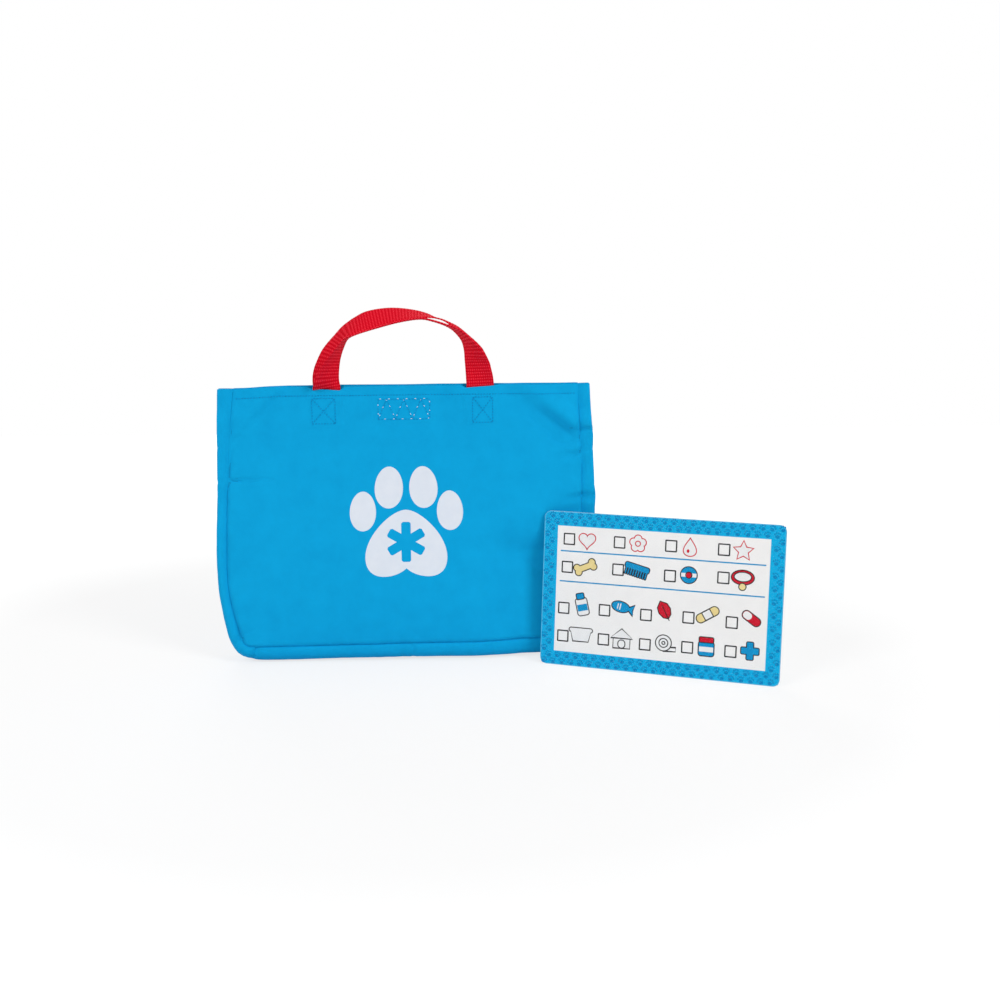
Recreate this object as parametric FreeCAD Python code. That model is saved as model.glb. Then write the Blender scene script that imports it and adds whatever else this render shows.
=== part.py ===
import FreeCAD, Part
import math
import os

# A child's vet kit: a sewn tote bag with two webbing handles, and its checklist card standing beside it.
# Lengths are millimetres and angles are degrees. The origin is on the floor under the middle of the bag,
# +X runs to the right, +Y to the back and +Z up. The bag's front panel faces -Y.

# Bag cloth: two panels joined by a gusset strip round the sides and the base
CLOTH = 0.8
BAG_HEIGHT = 254.0
PANEL_WIDTH = 322.0
PANEL_CROWN = 8.0
BASE_DEPTH = 36.0
SEAM_HEIGHT = 16.0
CORNER_WIDTH = 24.0
CORNER_HEIGHT = 66.0
SIDE_BULGE = 11.0
CORNER_BULGE = 6.5
SEAM_GAP = 0.2
HEM = 11.0
BINDING_WIDTH = 9.0
BINDING = 0.6

# Webbing handles, sewn flat inside the mouth
WEBBING_WIDTH = 25.0
WEBBING = 1.4
HANDLE_SPACING = 137.0
HANDLE_GAP = 0.6
HANDLE_LIFT = 0.2
FRONT_HANDLE_RISE = 50.0
BACK_HANDLE_RISE = 58.0
FRONT_HANDLE_TILT = 72.0
BACK_HANDLE_TILT = 50.0
TAIL_LENGTH = 36.0

# Hook-and-loop closure under the hem
PATCH_WIDTH = 50.0
PATCH_HEIGHT = 22.0
CLOSURE_GAP = 0.4

# Sewing thread and the air left between sewn layers
THREAD_WIDTH = 0.6
THREAD_RISE = 0.3
STITCH_MARGIN = 2.0
SEW_GAP = 0.1

# Paw print on the front panel
PRINT = 0.15
PAW_DROP = 21.0
PAD_WIDTH = 74.0
PAD_HEIGHT = 61.0
OUTER_TOE_WIDTH = 23.5
OUTER_TOE_HEIGHT = 34.5
OUTER_TOE_SIDE = 39.0
OUTER_TOE_RISE = 28.0
OUTER_TOE_TILT = 12.0
INNER_TOE_WIDTH = 25.0
INNER_TOE_HEIGHT = 37.0
INNER_TOE_SIDE = 15.5
INNER_TOE_RISE = 50.0
INNER_TOE_TILT = 4.0
STAR_BAR_LENGTH = 34.0
STAR_BAR_WIDTH = 7.6

# Checklist card: a board with a printed sheet and a clear film on each side
CARD_WIDTH = 216.0
CARD_HEIGHT = 140.0
CARD_CORNER = 6.0
BOARD = 1.5
SHEET = 0.2
FILM = 0.12
CARD_X = 121.0
CARD_YAW = 21.5
CARD_LEAN = 6.5
CARD_CLEARANCE = 0.8

# Counts, and shares of the sizes above
SIDE_STATIONS = 8
CORNER_STATIONS = 16
HANDLE_STATIONS = 16
CARD_STATIONS = 10
STAR_BARS = 3
CORNER_SHARE = 0.6
WEB_SHARE = 0.5
NARROWING_SHARES = (1.0, 1 / 2, 1 / 6, 0.0, 0.0)
CROWN_PEAK_SHARE = 27 / 64
STAR_SHARE = 0.52
PAD_TOP_SHARES = ((0.0, 1.0), (0.35, 1.0), (1.0, 0.62), (1.0, 0.29))
PAD_SIDE_SHARES = ((1.0, 0.29), (1.0, 0.09), (0.81, 0.0), (0.57, 0.0))
PAD_LOBE_SHARES = ((0.57, 0.0), (0.35, 0.0), (0.22, 0.12), (0.0, 0.12))

# Sizes that follow from the ones above
HALF_WIDTH = PANEL_WIDTH / 2
BASE_HALF = BASE_DEPTH / 2
TAIL_INSET = 2 * CLOTH + SEW_GAP
MOUTH_HALF = TAIL_INSET + WEBBING + HANDLE_GAP / 2
PATCH = MOUTH_HALF - CLOTH - SEW_GAP - CLOSURE_GAP / 2
HEM_HEIGHT = BAG_HEIGHT - HEM
LEG_SIDE = HANDLE_SPACING / 2
STAR_HEIGHT = (SEAM_HEIGHT + BAG_HEIGHT) / 2 - PAW_DROP
OVERRUN = BAG_HEIGHT
FRONT = -OVERRUN


def point(x, z):
    """A point of an outline drawn in the XZ plane in front of the bag."""
    return FreeCAD.Vector(x, FRONT, z)


def bezier(points):
    curve = Part.BezierCurve()
    curve.setPoles(points)
    return curve.toShape()


def outline_face(points):
    """A straight-sided outline in front of the bag, as a face."""
    return Part.Face(Part.makePolygon(points + points[:1]))


def rectangle(left, right, low, high):
    return outline_face([point(left, low), point(right, low), point(right, high), point(left, high)])


def bar(start, end, width):
    """A straight strip of the given width between two points of the outline plane."""
    along = (end - start).normalize()
    across = along.cross(FreeCAD.Vector(0, 1, 0)) * (width / 2)
    return outline_face([start - across, end - across, end + across, start + across])


def half_depth(height):
    """Half the bag's depth, seam to seam, at a height above the floor."""
    left_to_rise = (BAG_HEIGHT - height) / (BAG_HEIGHT - SEAM_HEIGHT)
    return MOUTH_HALF + (BASE_HALF - MOUTH_HALF) * left_to_rise ** 2


def panel_depth(x, height):
    """How far the front panel's outer face stands in front of the bag's middle plane."""
    risen = (height - SEAM_HEIGHT) / (BAG_HEIGHT - SEAM_HEIGHT)
    swell = 4 * risen * (1 - risen) ** 3 / CROWN_PEAK_SHARE
    return half_depth(height) + PANEL_CROWN * swell * (1 - (x / HALF_WIDTH) ** 2)


def panel_surface():
    """The outer face of the front panel: deep at the base, closing to the mouth, with a swollen middle."""
    rows = len(NARROWING_SHARES)
    surface = Part.BezierSurface()
    surface.increase(2, rows - 1)
    for row, share in enumerate(NARROWING_SHARES):
        height = SEAM_HEIGHT + (BAG_HEIGHT - SEAM_HEIGHT) * row / (rows - 1)
        depth = MOUTH_HALF + (BASE_HALF - MOUTH_HALF) * share
        swell = 2 * PANEL_CROWN / CROWN_PEAK_SHARE if row == 1 else 0
        surface.setPole(1, row + 1, FreeCAD.Vector(-HALF_WIDTH, -depth, height))
        surface.setPole(2, row + 1, FreeCAD.Vector(0, -depth - swell, height))
        surface.setPole(3, row + 1, FreeCAD.Vector(HALF_WIDTH, -depth, height))
    return surface.toShape()


def layer(outline, inset, thickness):
    """A sheet over the outline, parallel to the front panel, starting at an inset behind its outer face."""
    return layer_inside(outline.extrude(FreeCAD.Vector(0, OVERRUN, 0)), inset, thickness)


def layer_inside(cutter, inset, thickness):
    """The same sheet where the panel passes through a solid."""
    skin = panel_surface().common(cutter)
    skin.translate(FreeCAD.Vector(0, inset, 0))
    sheet = skin.extrude(FreeCAD.Vector(0, thickness, 0))
    return Part.makeCompound(sheet.Solids)


def on_front(outline, thickness):
    """A sheet lying on the outside of the front panel."""
    return layer(outline, -SEW_GAP - thickness, thickness)


def mirrored(shape):
    """The same piece on the back panel."""
    return shape.mirror(FreeCAD.Vector(0, 0, 0), FreeCAD.Vector(0, 1, 0))


def lower_corner(hand, margin):
    """The curve of a lower corner of the panel's outline, pulled in by a margin: from the side to the foot."""
    side = HALF_WIDTH - margin
    low = SEAM_HEIGHT + margin
    places = [
        (side, low + CORNER_HEIGHT),
        (side, low + CORNER_HEIGHT * (1 - CORNER_SHARE)),
        (side - CORNER_WIDTH * (1 - CORNER_SHARE), low),
        (side - CORNER_WIDTH, low),
    ]
    curve = Part.BezierCurve()
    curve.setPoles([point(hand * x, z) for x, z in places])
    return curve


def u_outline(margin):
    """The panel's outline, pulled in from the seam by a margin, and open past the top edge."""
    right = lower_corner(1, margin)
    left = lower_corner(-1, margin)
    top_right = point(HALF_WIDTH - margin, BAG_HEIGHT + HEM)
    top_left = point(margin - HALF_WIDTH, BAG_HEIGHT + HEM)
    edges = [
        left.toShape(),
        Part.makeLine(left.EndPoint, right.EndPoint),
        right.toShape(),
        Part.makeLine(right.StartPoint, top_right),
        Part.makeLine(top_right, top_left),
        Part.makeLine(top_left, left.StartPoint),
    ]
    return Part.Face(Part.Wire(edges))


def panel():
    """The front panel, with its hem turned inside along the mouth."""
    wall = layer(u_outline(0), 0, CLOTH).Solids[0]
    past = HALF_WIDTH + HEM
    hem = layer(rectangle(-past, past, HEM_HEIGHT, BAG_HEIGHT + HEM), CLOTH, CLOTH)
    return wall.fuse(hem.Solids[0]).removeSplitter()


def seam_binding():
    """The tape that covers the raw seam inside the bag, under the hem."""
    tape = u_outline(SEW_GAP).cut(u_outline(BINDING_WIDTH))
    past = HALF_WIDTH + HEM
    below_hem = rectangle(-past, past, 0, HEM_HEIGHT - SEW_GAP)
    return layer(tape.common(below_hem).Faces[0], CLOTH + SEW_GAP, BINDING)


def handle_tails():
    """The two strap ends sewn inside the mouth."""
    tails = []
    for side in (-LEG_SIDE, LEG_SIDE):
        outline = rectangle(side - WEBBING_WIDTH / 2, side + WEBBING_WIDTH / 2, BAG_HEIGHT - TAIL_LENGTH,
                            BAG_HEIGHT + HEM)
        tails += layer(outline, TAIL_INSET, WEBBING).Solids
    return Part.makeCompound(tails)


def closure_patch():
    half = PATCH_WIDTH / 2
    top = HEM_HEIGHT - SEW_GAP
    return layer(rectangle(-half, half, top - PATCH_HEIGHT, top), CLOTH + SEW_GAP, PATCH)


def stitched_lines(lines):
    """Joined rows of thread on the outside of the front panel."""
    rows = []
    for start, end in lines:
        rows.append(bar(start, end, THREAD_WIDTH).extrude(FreeCAD.Vector(0, OVERRUN, 0)))
    figure = rows[0].multiFuse(rows[1:]).removeSplitter() if len(rows) > 1 else rows[0]
    return layer_inside(figure, -SEW_GAP - THREAD_RISE, THREAD_RISE).Solids


def box_lines(middle, half_wide, low, high, crossed):
    """The lines of a sewn rectangle, with its diagonals where it is crossed."""
    a = point(middle - half_wide, low)
    b = point(middle + half_wide, low)
    c = point(middle + half_wide, high)
    d = point(middle - half_wide, high)
    lines = [(a, b), (b, c), (c, d), (d, a)]
    if crossed:
        lines += [(a, c), (b, d)]
    return lines


def hem_stitching():
    height = HEM_HEIGHT + STITCH_MARGIN / 2
    end = HALF_WIDTH - STITCH_MARGIN
    return Part.makeCompound(stitched_lines([(point(-end, height), point(end, height))]))


def handle_stitching():
    half = WEBBING_WIDTH / 2 - STITCH_MARGIN
    high = HEM_HEIGHT + STITCH_MARGIN / 2 - THREAD_WIDTH - SEW_GAP
    low = BAG_HEIGHT - TAIL_LENGTH + STITCH_MARGIN
    boxes = []
    for side in (-LEG_SIDE, LEG_SIDE):
        boxes += stitched_lines(box_lines(side, half, low, high, True))
    return Part.makeCompound(boxes)


def patch_stitching():
    half = PATCH_WIDTH / 2 - STITCH_MARGIN
    high = HEM_HEIGHT - SEW_GAP - STITCH_MARGIN
    low = HEM_HEIGHT - SEW_GAP - PATCH_HEIGHT + STITCH_MARGIN
    return Part.makeCompound(stitched_lines(box_lines(0, half, low, high, False)))


def gusset_section(seam_x, seam_z, out_x, out_z, half, bulge):
    """A cross-section of the gusset strip: a channel that stands out from the seam along (out_x, out_z)."""
    web = half * WEB_SHARE

    def at(out, y):
        return FreeCAD.Vector(seam_x + out_x * out, y, seam_z + out_z * out)

    def channel(depth, out):
        return [at(SEAM_GAP, -depth), at(out, -depth), at(out, -web), at(out, web), at(out, depth),
                at(SEAM_GAP, depth)]

    outer = channel(half, bulge)
    inner = channel(half - CLOTH, bulge - CLOTH)
    return Part.Wire([
        bezier(outer[0:3]),
        Part.makeLine(outer[2], outer[3]),
        bezier(outer[3:6]),
        Part.makeLine(outer[5], inner[5]),
        bezier(inner[5:2:-1]),
        Part.makeLine(inner[3], inner[2]),
        bezier(inner[2::-1]),
        Part.makeLine(inner[0], outer[0]),
    ])


def base_gusset():
    """The straight bottom stretch of the strip, flat where the bag stands."""
    end = HALF_WIDTH - CORNER_WIDTH - SEAM_GAP
    section = gusset_section(-end, SEAM_HEIGHT, 0, -1, BASE_HALF, SEAM_HEIGHT)
    return Part.Face(section).extrude(FreeCAD.Vector(2 * end, 0, 0))


def side_gusset():
    """The right side of the strip: down from the mouth and round the lower corner to the base."""
    corner = lower_corner(1, 0)
    corner_top = SEAM_HEIGHT + CORNER_HEIGHT
    sections = []
    for station in range(SIDE_STATIONS):
        height = BAG_HEIGHT - (BAG_HEIGHT - corner_top) * station / SIDE_STATIONS
        sections.append(gusset_section(HALF_WIDTH, height, 1, 0, half_depth(height), SIDE_BULGE))
    for station in range(CORNER_STATIONS + 1):
        seam = corner.value(station / CORNER_STATIONS)
        along = corner.tangent(station / CORNER_STATIONS)[0]
        turn = math.atan2(-along.x, -along.z)
        straight_bulge = SIDE_BULGE + (SEAM_HEIGHT - SIDE_BULGE) * math.sin(turn) ** 2
        bulge = straight_bulge - (straight_bulge - CORNER_BULGE) * math.sin(2 * turn) ** 2
        sections.append(gusset_section(seam.x, seam.z, -along.z, along.x, half_depth(seam.z), bulge))
    return Part.makeLoft(sections, True, True)


def handle_loop(rise, top_tilt):
    """The front strap's free loop: an arch of webbing whose outer edge turns forward as it climbs."""
    start = BAG_HEIGHT + HANDLE_LIFT
    sections = []
    for station in range(HANDLE_STATIONS + 1):
        angle = math.pi * station / HANDLE_STATIONS
        tilt = math.radians(top_tilt) * math.sin(angle)
        along = FreeCAD.Vector(LEG_SIDE * math.sin(angle), 0, rise * math.cos(angle)).normalize()
        outward = FreeCAD.Vector(-along.z, 0, along.x)
        across = outward * math.cos(tilt) - FreeCAD.Vector(0, math.sin(tilt), 0)
        through = across.cross(along) * (WEBBING / 2)
        edge = across * (WEBBING_WIDTH / 2)
        forward = HANDLE_GAP / 2 + WEBBING / 2 + math.sin(tilt) * WEBBING_WIDTH / 2
        middle = FreeCAD.Vector(-LEG_SIDE * math.cos(angle), -forward, start + rise * math.sin(angle))
        corners = [middle - edge - through, middle + edge - through, middle + edge + through,
                   middle - edge + through]
        sections.append(Part.makePolygon(corners + corners[:1]))
    return Part.makeLoft(sections, True, False)


def paw_toe(side, rise, width, height, tilt):
    """One egg-shaped toe of the print, leaning outward."""
    lean = math.radians(tilt)
    up = FreeCAD.Vector(math.sin(lean), 0, math.cos(lean)) * (height / 2)
    across = FreeCAD.Vector(math.cos(lean), 0, -math.sin(lean)) * (width / 2)
    middle = point(side, STAR_HEIGHT + rise)
    major, minor = (up, across) if height > width else (across, up)
    ellipse = Part.Ellipse(middle + major, middle + minor, middle)
    return Part.Face(Part.Wire(ellipse.toShape()))


def paw_toes():
    toes = []
    for hand in (-1, 1):
        outer = paw_toe(hand * OUTER_TOE_SIDE, OUTER_TOE_RISE, OUTER_TOE_WIDTH, OUTER_TOE_HEIGHT,
                        hand * OUTER_TOE_TILT)
        inner = paw_toe(hand * INNER_TOE_SIDE, INNER_TOE_RISE, INNER_TOE_WIDTH, INNER_TOE_HEIGHT,
                        hand * INNER_TOE_TILT)
        toes += on_front(outer, PRINT).Solids + on_front(inner, PRINT).Solids
    return Part.makeCompound(toes)


def paw_pad():
    """The print's main pad, with a six-armed star left open in it."""
    low = STAR_HEIGHT - PAD_HEIGHT * STAR_SHARE

    def side_curves(hand):
        half = hand * PAD_WIDTH / 2
        curves = []
        for shares in (PAD_TOP_SHARES, PAD_SIDE_SHARES, PAD_LOBE_SHARES):
            curves.append(bezier([point(half * across, low + PAD_HEIGHT * up) for across, up in shares]))
        return curves

    pad = Part.Face(Part.Wire(Part.__sortEdges__(side_curves(1) + side_curves(-1))))
    middle = point(0, STAR_HEIGHT)
    arms = []
    for arm in range(STAR_BARS):
        turn = math.pi * arm / STAR_BARS
        reach = FreeCAD.Vector(math.sin(turn), 0, math.cos(turn)) * (STAR_BAR_LENGTH / 2)
        arms.append(bar(middle - reach, middle + reach, STAR_BAR_WIDTH))
    return on_front(pad.cut(arms), PRINT)


def card_foot():
    """Where the card's lower left corner stands, so that its left edge leans clear of the front panel."""
    lean = math.radians(CARD_LEAN)
    yaw = math.radians(CARD_YAW)
    places = []
    for station in range(CARD_STATIONS + 1):
        up = CARD_HEIGHT * station / CARD_STATIONS
        back = up * math.sin(lean)
        panel_y = -panel_depth(CARD_X + back * math.sin(yaw), up * math.cos(lean))
        places.append(panel_y - CARD_CLEARANCE - back * math.cos(yaw))
    return FreeCAD.Vector(CARD_X, min(places), 0)


def card_layer(front, thickness):
    """One layer of the card, standing at its place: `front` is its distance from the card's back face."""
    blank = Part.makeBox(CARD_WIDTH, thickness, CARD_HEIGHT)
    uprights = []
    for edge in blank.Edges:
        run = edge.Vertexes[1].Point - edge.Vertexes[0].Point
        if abs(run.x) < thickness / 2 and abs(run.z) < thickness / 2:
            uprights.append(edge)
    sheet = blank.makeFillet(CARD_CORNER, uprights)
    sheet.translate(FreeCAD.Vector(0, -front - thickness, 0))
    sheet.rotate(FreeCAD.Vector(0, 0, 0), FreeCAD.Vector(1, 0, 0), -CARD_LEAN)
    sheet.rotate(FreeCAD.Vector(0, 0, 0), FreeCAD.Vector(0, 0, 1), -CARD_YAW)
    sheet.translate(card_foot())
    return sheet


def card():
    """The card's five layers, from its back to its front."""
    stack = [("card_back_film", FILM), ("card_back_sheet", SHEET), ("card_board", BOARD),
             ("card_front_sheet", SHEET), ("card_front_film", FILM)]
    layers = {}
    front = 0
    for name, thickness in stack:
        layers[name] = card_layer(front, thickness)
        front += thickness
    return layers


def bag():
    side = side_gusset()
    pieces = {
        "base_gusset": base_gusset(),
        "right_gusset": side,
        "left_gusset": side.mirror(FreeCAD.Vector(0, 0, 0), FreeCAD.Vector(1, 0, 0)),
        "front_handle_loop": handle_loop(FRONT_HANDLE_RISE, FRONT_HANDLE_TILT),
        "back_handle_loop": mirrored(handle_loop(BACK_HANDLE_RISE, BACK_HANDLE_TILT)),
        "paw_pad_print": paw_pad(),
        "paw_toe_prints": paw_toes(),
    }
    both_sides = [("panel", panel), ("seam_binding", seam_binding), ("handle_tails", handle_tails),
                  ("hem_stitching", hem_stitching), ("handle_stitching", handle_stitching),
                  ("closure_stitching", patch_stitching)]
    for name, make in both_sides:
        piece = make()
        pieces["front_" + name] = piece
        pieces["back_" + name] = mirrored(piece)
    patch = closure_patch()
    pieces["hook_patch"] = patch
    pieces["loop_patch"] = mirrored(patch)
    return pieces


def main():
    os.makedirs("parts", exist_ok=True)
    nodes = bag()
    nodes.update(card())
    for name, shape in nodes.items():
        shape.exportStep(os.path.join("parts", name + ".step"))
        print(name, "solids", len(shape.Solids), "valid", shape.isValid(), "volume", round(shape.Volume, 1))


main()
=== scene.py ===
import math

import bpy
from mathutils import Matrix, Vector, geometry, kdtree, noise

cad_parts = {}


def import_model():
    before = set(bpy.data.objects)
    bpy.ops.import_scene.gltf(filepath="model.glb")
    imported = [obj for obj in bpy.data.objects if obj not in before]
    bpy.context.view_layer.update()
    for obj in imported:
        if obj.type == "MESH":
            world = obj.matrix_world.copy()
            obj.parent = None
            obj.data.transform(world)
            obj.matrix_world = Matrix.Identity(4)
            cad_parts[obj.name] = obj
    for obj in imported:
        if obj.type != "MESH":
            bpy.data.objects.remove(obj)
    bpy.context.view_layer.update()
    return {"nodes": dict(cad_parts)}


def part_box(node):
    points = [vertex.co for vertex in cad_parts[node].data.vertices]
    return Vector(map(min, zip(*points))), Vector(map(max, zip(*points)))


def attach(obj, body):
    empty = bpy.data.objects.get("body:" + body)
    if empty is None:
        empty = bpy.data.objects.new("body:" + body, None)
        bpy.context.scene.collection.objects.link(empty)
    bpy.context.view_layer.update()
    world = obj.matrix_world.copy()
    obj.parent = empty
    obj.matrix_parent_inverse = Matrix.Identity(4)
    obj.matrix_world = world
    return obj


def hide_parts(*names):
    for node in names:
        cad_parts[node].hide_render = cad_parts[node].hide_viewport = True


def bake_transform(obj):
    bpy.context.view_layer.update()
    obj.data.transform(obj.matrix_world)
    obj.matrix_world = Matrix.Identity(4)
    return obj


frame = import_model()

# Places and sizes read from the frame, in metres
PANEL_LOW, PANEL_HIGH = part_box("front_panel")
BASE_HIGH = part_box("base_gusset")[1]
TAIL_LOW, TAIL_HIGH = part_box("front_handle_tails")
PATCH_LOW, PATCH_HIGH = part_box("hook_patch")
HALF_WIDTH = PANEL_HIGH[0]
SEAM_HEIGHT = PANEL_LOW[2]
BAG_TOP = PANEL_HIGH[2]
BASE_HALF = BASE_HIGH[1]
LEG_OUTER = TAIL_HIGH[0]
TAIL_FOOT = TAIL_LOW[2]

# Sizes shared with the source of the solids, in metres and degrees
MM = 0.001
MOUTH_HALF = 3.4 * MM
PANEL_CROWN = 8 * MM
CROWN_PEAK_SHARE = 27 / 64
HEM = 11 * MM
WEBBING_WIDTH = 25 * MM
WEBBING = 1.4 * MM
TAIL_INSET = 2.4 * MM
CARD_WIDTH = 216 * MM
CARD_HEIGHT = 140 * MM
CARD_CORNER = 6 * MM
CARD_YAW = 21.5
CARD_LEAN = 6.5
LEG_INNER = LEG_OUTER - WEBBING_WIDTH

# Sides of the bag: the front panel faces -Y and the back panel +Y
FRONT = -1
BACK = 1
PANEL_BODY = {FRONT: "bag", BACK: "back_wall"}
SIDE_NAME = {FRONT: "front", BACK: "back"}


# Meshes

SHARP_ANGLE = math.radians(50)


def add_piece(name, verts, faces, material, smooth=True):
    """A new mesh object in the frame's own coordinates."""
    mesh = bpy.data.meshes.new(name)
    mesh.from_pydata([tuple(v) for v in verts], [], faces)
    mesh.update()
    mesh.materials.append(material)
    mesh.polygons.foreach_set("use_smooth", [smooth] * len(mesh.polygons))
    piece = bpy.data.objects.new(name, mesh)
    bpy.context.scene.collection.objects.link(piece)
    return piece


def grid_faces(rows, columns, turned=False, closed=False):
    """Quads between rows of points; closed joins the last column to the first."""
    faces = []
    for row in range(rows - 1):
        for column in range(columns if closed else columns - 1):
            after = (column + 1) % columns
            quad = (row * columns + column, row * columns + after,
                    (row + 1) * columns + after, (row + 1) * columns + column)
            faces.append(quad[::-1] if turned else quad)
    return faces


def tube_faces(rings, sides, first=0):
    """Faces of a tube over rings of points, closed at both ends."""
    faces = grid_faces(rings, sides, closed=True)
    faces.append(tuple(reversed(range(sides))))
    faces.append(tuple(range((rings - 1) * sides, rings * sides)))
    return [tuple(first + corner for corner in face) for face in faces]


def thicken(piece, thickness):
    """Gives a sheet its thickness behind its outer face, as final mesh."""
    solidify = piece.modifiers.new("thickness", "SOLIDIFY")
    solidify.thickness = thickness
    solidify.offset = -1
    bpy.context.view_layer.update()
    shown = piece.evaluated_get(bpy.context.evaluated_depsgraph_get())
    mesh = bpy.data.meshes.new_from_object(shown)
    mesh.set_sharp_from_angle(angle=SHARP_ANGLE)
    piece.modifiers.clear()
    piece.data = mesh
    return piece


def cloth_piece(name, verts, columns, material, thickness, turned=False):
    """A thick sheet over rows of points, with so many columns in each row."""
    faces = grid_faces(len(verts) // columns, columns, turned)
    return thicken(add_piece(name, verts, faces, material), thickness)


def settle(piece, body, slot, *nodes):
    """The piece rides on a body and stands for some solids, which are hidden; the material slot of the
    record is not used.
    """
    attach(piece, body)
    if nodes:
        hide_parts(*nodes)


def clamp(value):
    return max(0.0, min(1.0, value))


def smooth_step(value):
    value = clamp(value)
    return value * value * (3 - 2 * value)


def plateau(value, low, high, ease):
    """1 between two limits, falling to 0 within an ease outside them."""
    return smooth_step((value - low + ease) / ease) * smooth_step((high + ease - value) / ease)


def bell(value):
    return math.exp(-value * value)


def wave(*place):
    """Smooth noise from -1 to 1."""
    return noise.noise(Vector(place))


def turns(steps):
    """Even angles once round."""
    return [2 * math.pi * number / steps for number in range(steps)]


def between(first, second, share):
    """Values at a share of the way from some values to others."""
    return [p + (q - p) * share for p, q in zip(first, second)]


def line_values(line, place):
    """Values at a place of a line of points, counted in points with fractions."""
    index = min(int(place), len(line) - 2)
    return between(line[index], line[index + 1], place - index)


def heading(line, index):
    """Direction of a line of points at one of them, over its first two values."""
    before = Vector(line[max(index - 1, 0)][:2])
    after = Vector(line[min(index + 1, len(line) - 1)][:2])
    return (after - before).normalized()


def curve_value(t, p, q, r, s):
    """Value of a smooth curve through p, q, r and s, at a share t of the way from q to r."""
    square = 2 * p - 5 * q + 4 * r - s
    cube = 3 * q - p - 3 * r + s
    return (2 * q + (r - p) * t + square * t * t + cube * t ** 3) / 2


CURVE_PARTS = 40


def through(points, step, axes):
    """Points a step apart on a smooth curve through the given ones; the first values are the place."""
    dense = []
    count = len(points)
    for index in range(count - 1):
        a = points[max(index - 1, 0)]
        b = points[index]
        c = points[index + 1]
        d = points[min(index + 2, count - 1)]
        for part in range(CURVE_PARTS):
            t = part / CURVE_PARTS
            dense.append([curve_value(t, *values) for values in zip(a, b, c, d)])
    dense.append(list(points[-1]))
    return evenly(dense, step, axes)


def evenly(points, step, axes=2):
    """The same line with points about a step apart."""
    runs = [0.0]
    for before, after in zip(points, points[1:]):
        runs.append(runs[-1] + math.dist(before[:axes], after[:axes]))
    count = max(2, round(runs[-1] / step) + 1)
    made = []
    index = 0
    for number in range(count):
        run = runs[-1] * number / (count - 1)
        while index < len(points) - 2 and runs[index + 1] < run:
            index += 1
        gap = runs[index + 1] - runs[index]
        share = (run - runs[index]) / gap if gap else 0
        made.append(between(points[index], points[index + 1], share))
    return made


# Shape of the bag

# The seam between panels and gusset, from the mouth's left end round the base to its right end: x and z
# of the seam, how far the gusset stands out from it and how deep the seam lies in the cloth, in millimetres
SEAM_STATIONS = (
    (-151.4, 251.4, 16.4, 0.5), (-154.9, 224, 14.2, 0.5), (-156.7, 206, 12.8, 1.3),
    (-157.9, 192, 12, 2), (-159.7, 169, 10.8, 1.8), (-160.9, 152, 10.2, 1.2), (-162.6, 105, 10.6, 1),
    (-162.9, 83, 10.1, 1), (-161.9, 66, 10.4, 1.3), (-159.3, 51.4, 11.2, 1.9),
    (-155.4, 35.8, 12.4, 2.5), (-152, 24.5, 13.2, 2.4), (-147.6, 17.9, 13.8, 1.5),
    (-139, 16.4, 15.4, 1.2), (-110, 16.3, 16, 1.2), (-60, 17, 16.1, 1.2), (0, 17.8, 16.4, 1.2),
    (60, 18, 17, 1.2), (121, 18.6, 16.8, 1.6), (140, 18.2, 16.2, 1.3), (148, 19.6, 14.2, 1.5),
    (152.2, 25.5, 13.4, 1.7), (155.4, 36.5, 12.8, 1.4), (158.6, 51, 12.4, 1.2), (160.8, 66, 12.2, 1.1),
    (161.6, 85, 12.2, 1), (161, 110, 13, 1), (160.1, 137, 13.5, 1), (160.2, 151, 14.3, 1.3),
    (160.2, 163, 13.2, 1), (160.2, 182, 12.2, 1), (159.5, 195, 12.5, 1.6), (158.5, 210, 13.6, 1.6),
    (157.6, 220, 12.9, 0.8), (156.1, 253.2, 12.5, 0.7),
)
SEAM_STEP = 2 * MM
SEAM_DIP_REACH = 2.4 * MM
SEAM_GROOVE = 1.4 * MM
GROOVE_REACH = 0.75 * MM
BROAD_WAVE = 1.8 * MM
BROAD_LENGTH = 75 * MM
BROAD_SEED = 5.5
LOOSE_BELOW = 60 * MM
PUCKER = 0.9 * MM
PUCKER_LENGTH = 11 * MM
PUCKER_WIDTH = 20 * MM
PUCKER_REACH = 11 * MM
PUCKER_SEED = 2.7
HEM_RIPPLE = 0.4 * MM
HEM_RIPPLE_LENGTH = 12 * MM
HEM_RIPPLE_HEIGHT = 30 * MM
HEM_RIPPLE_REACH = 12 * MM
HEM_RIPPLE_SEED = 8.1
LEAST_DEPTH = 2.1 * MM
RELIEF = 0.45 * MM
RELIEF_EASE = 2.5 * MM

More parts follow.
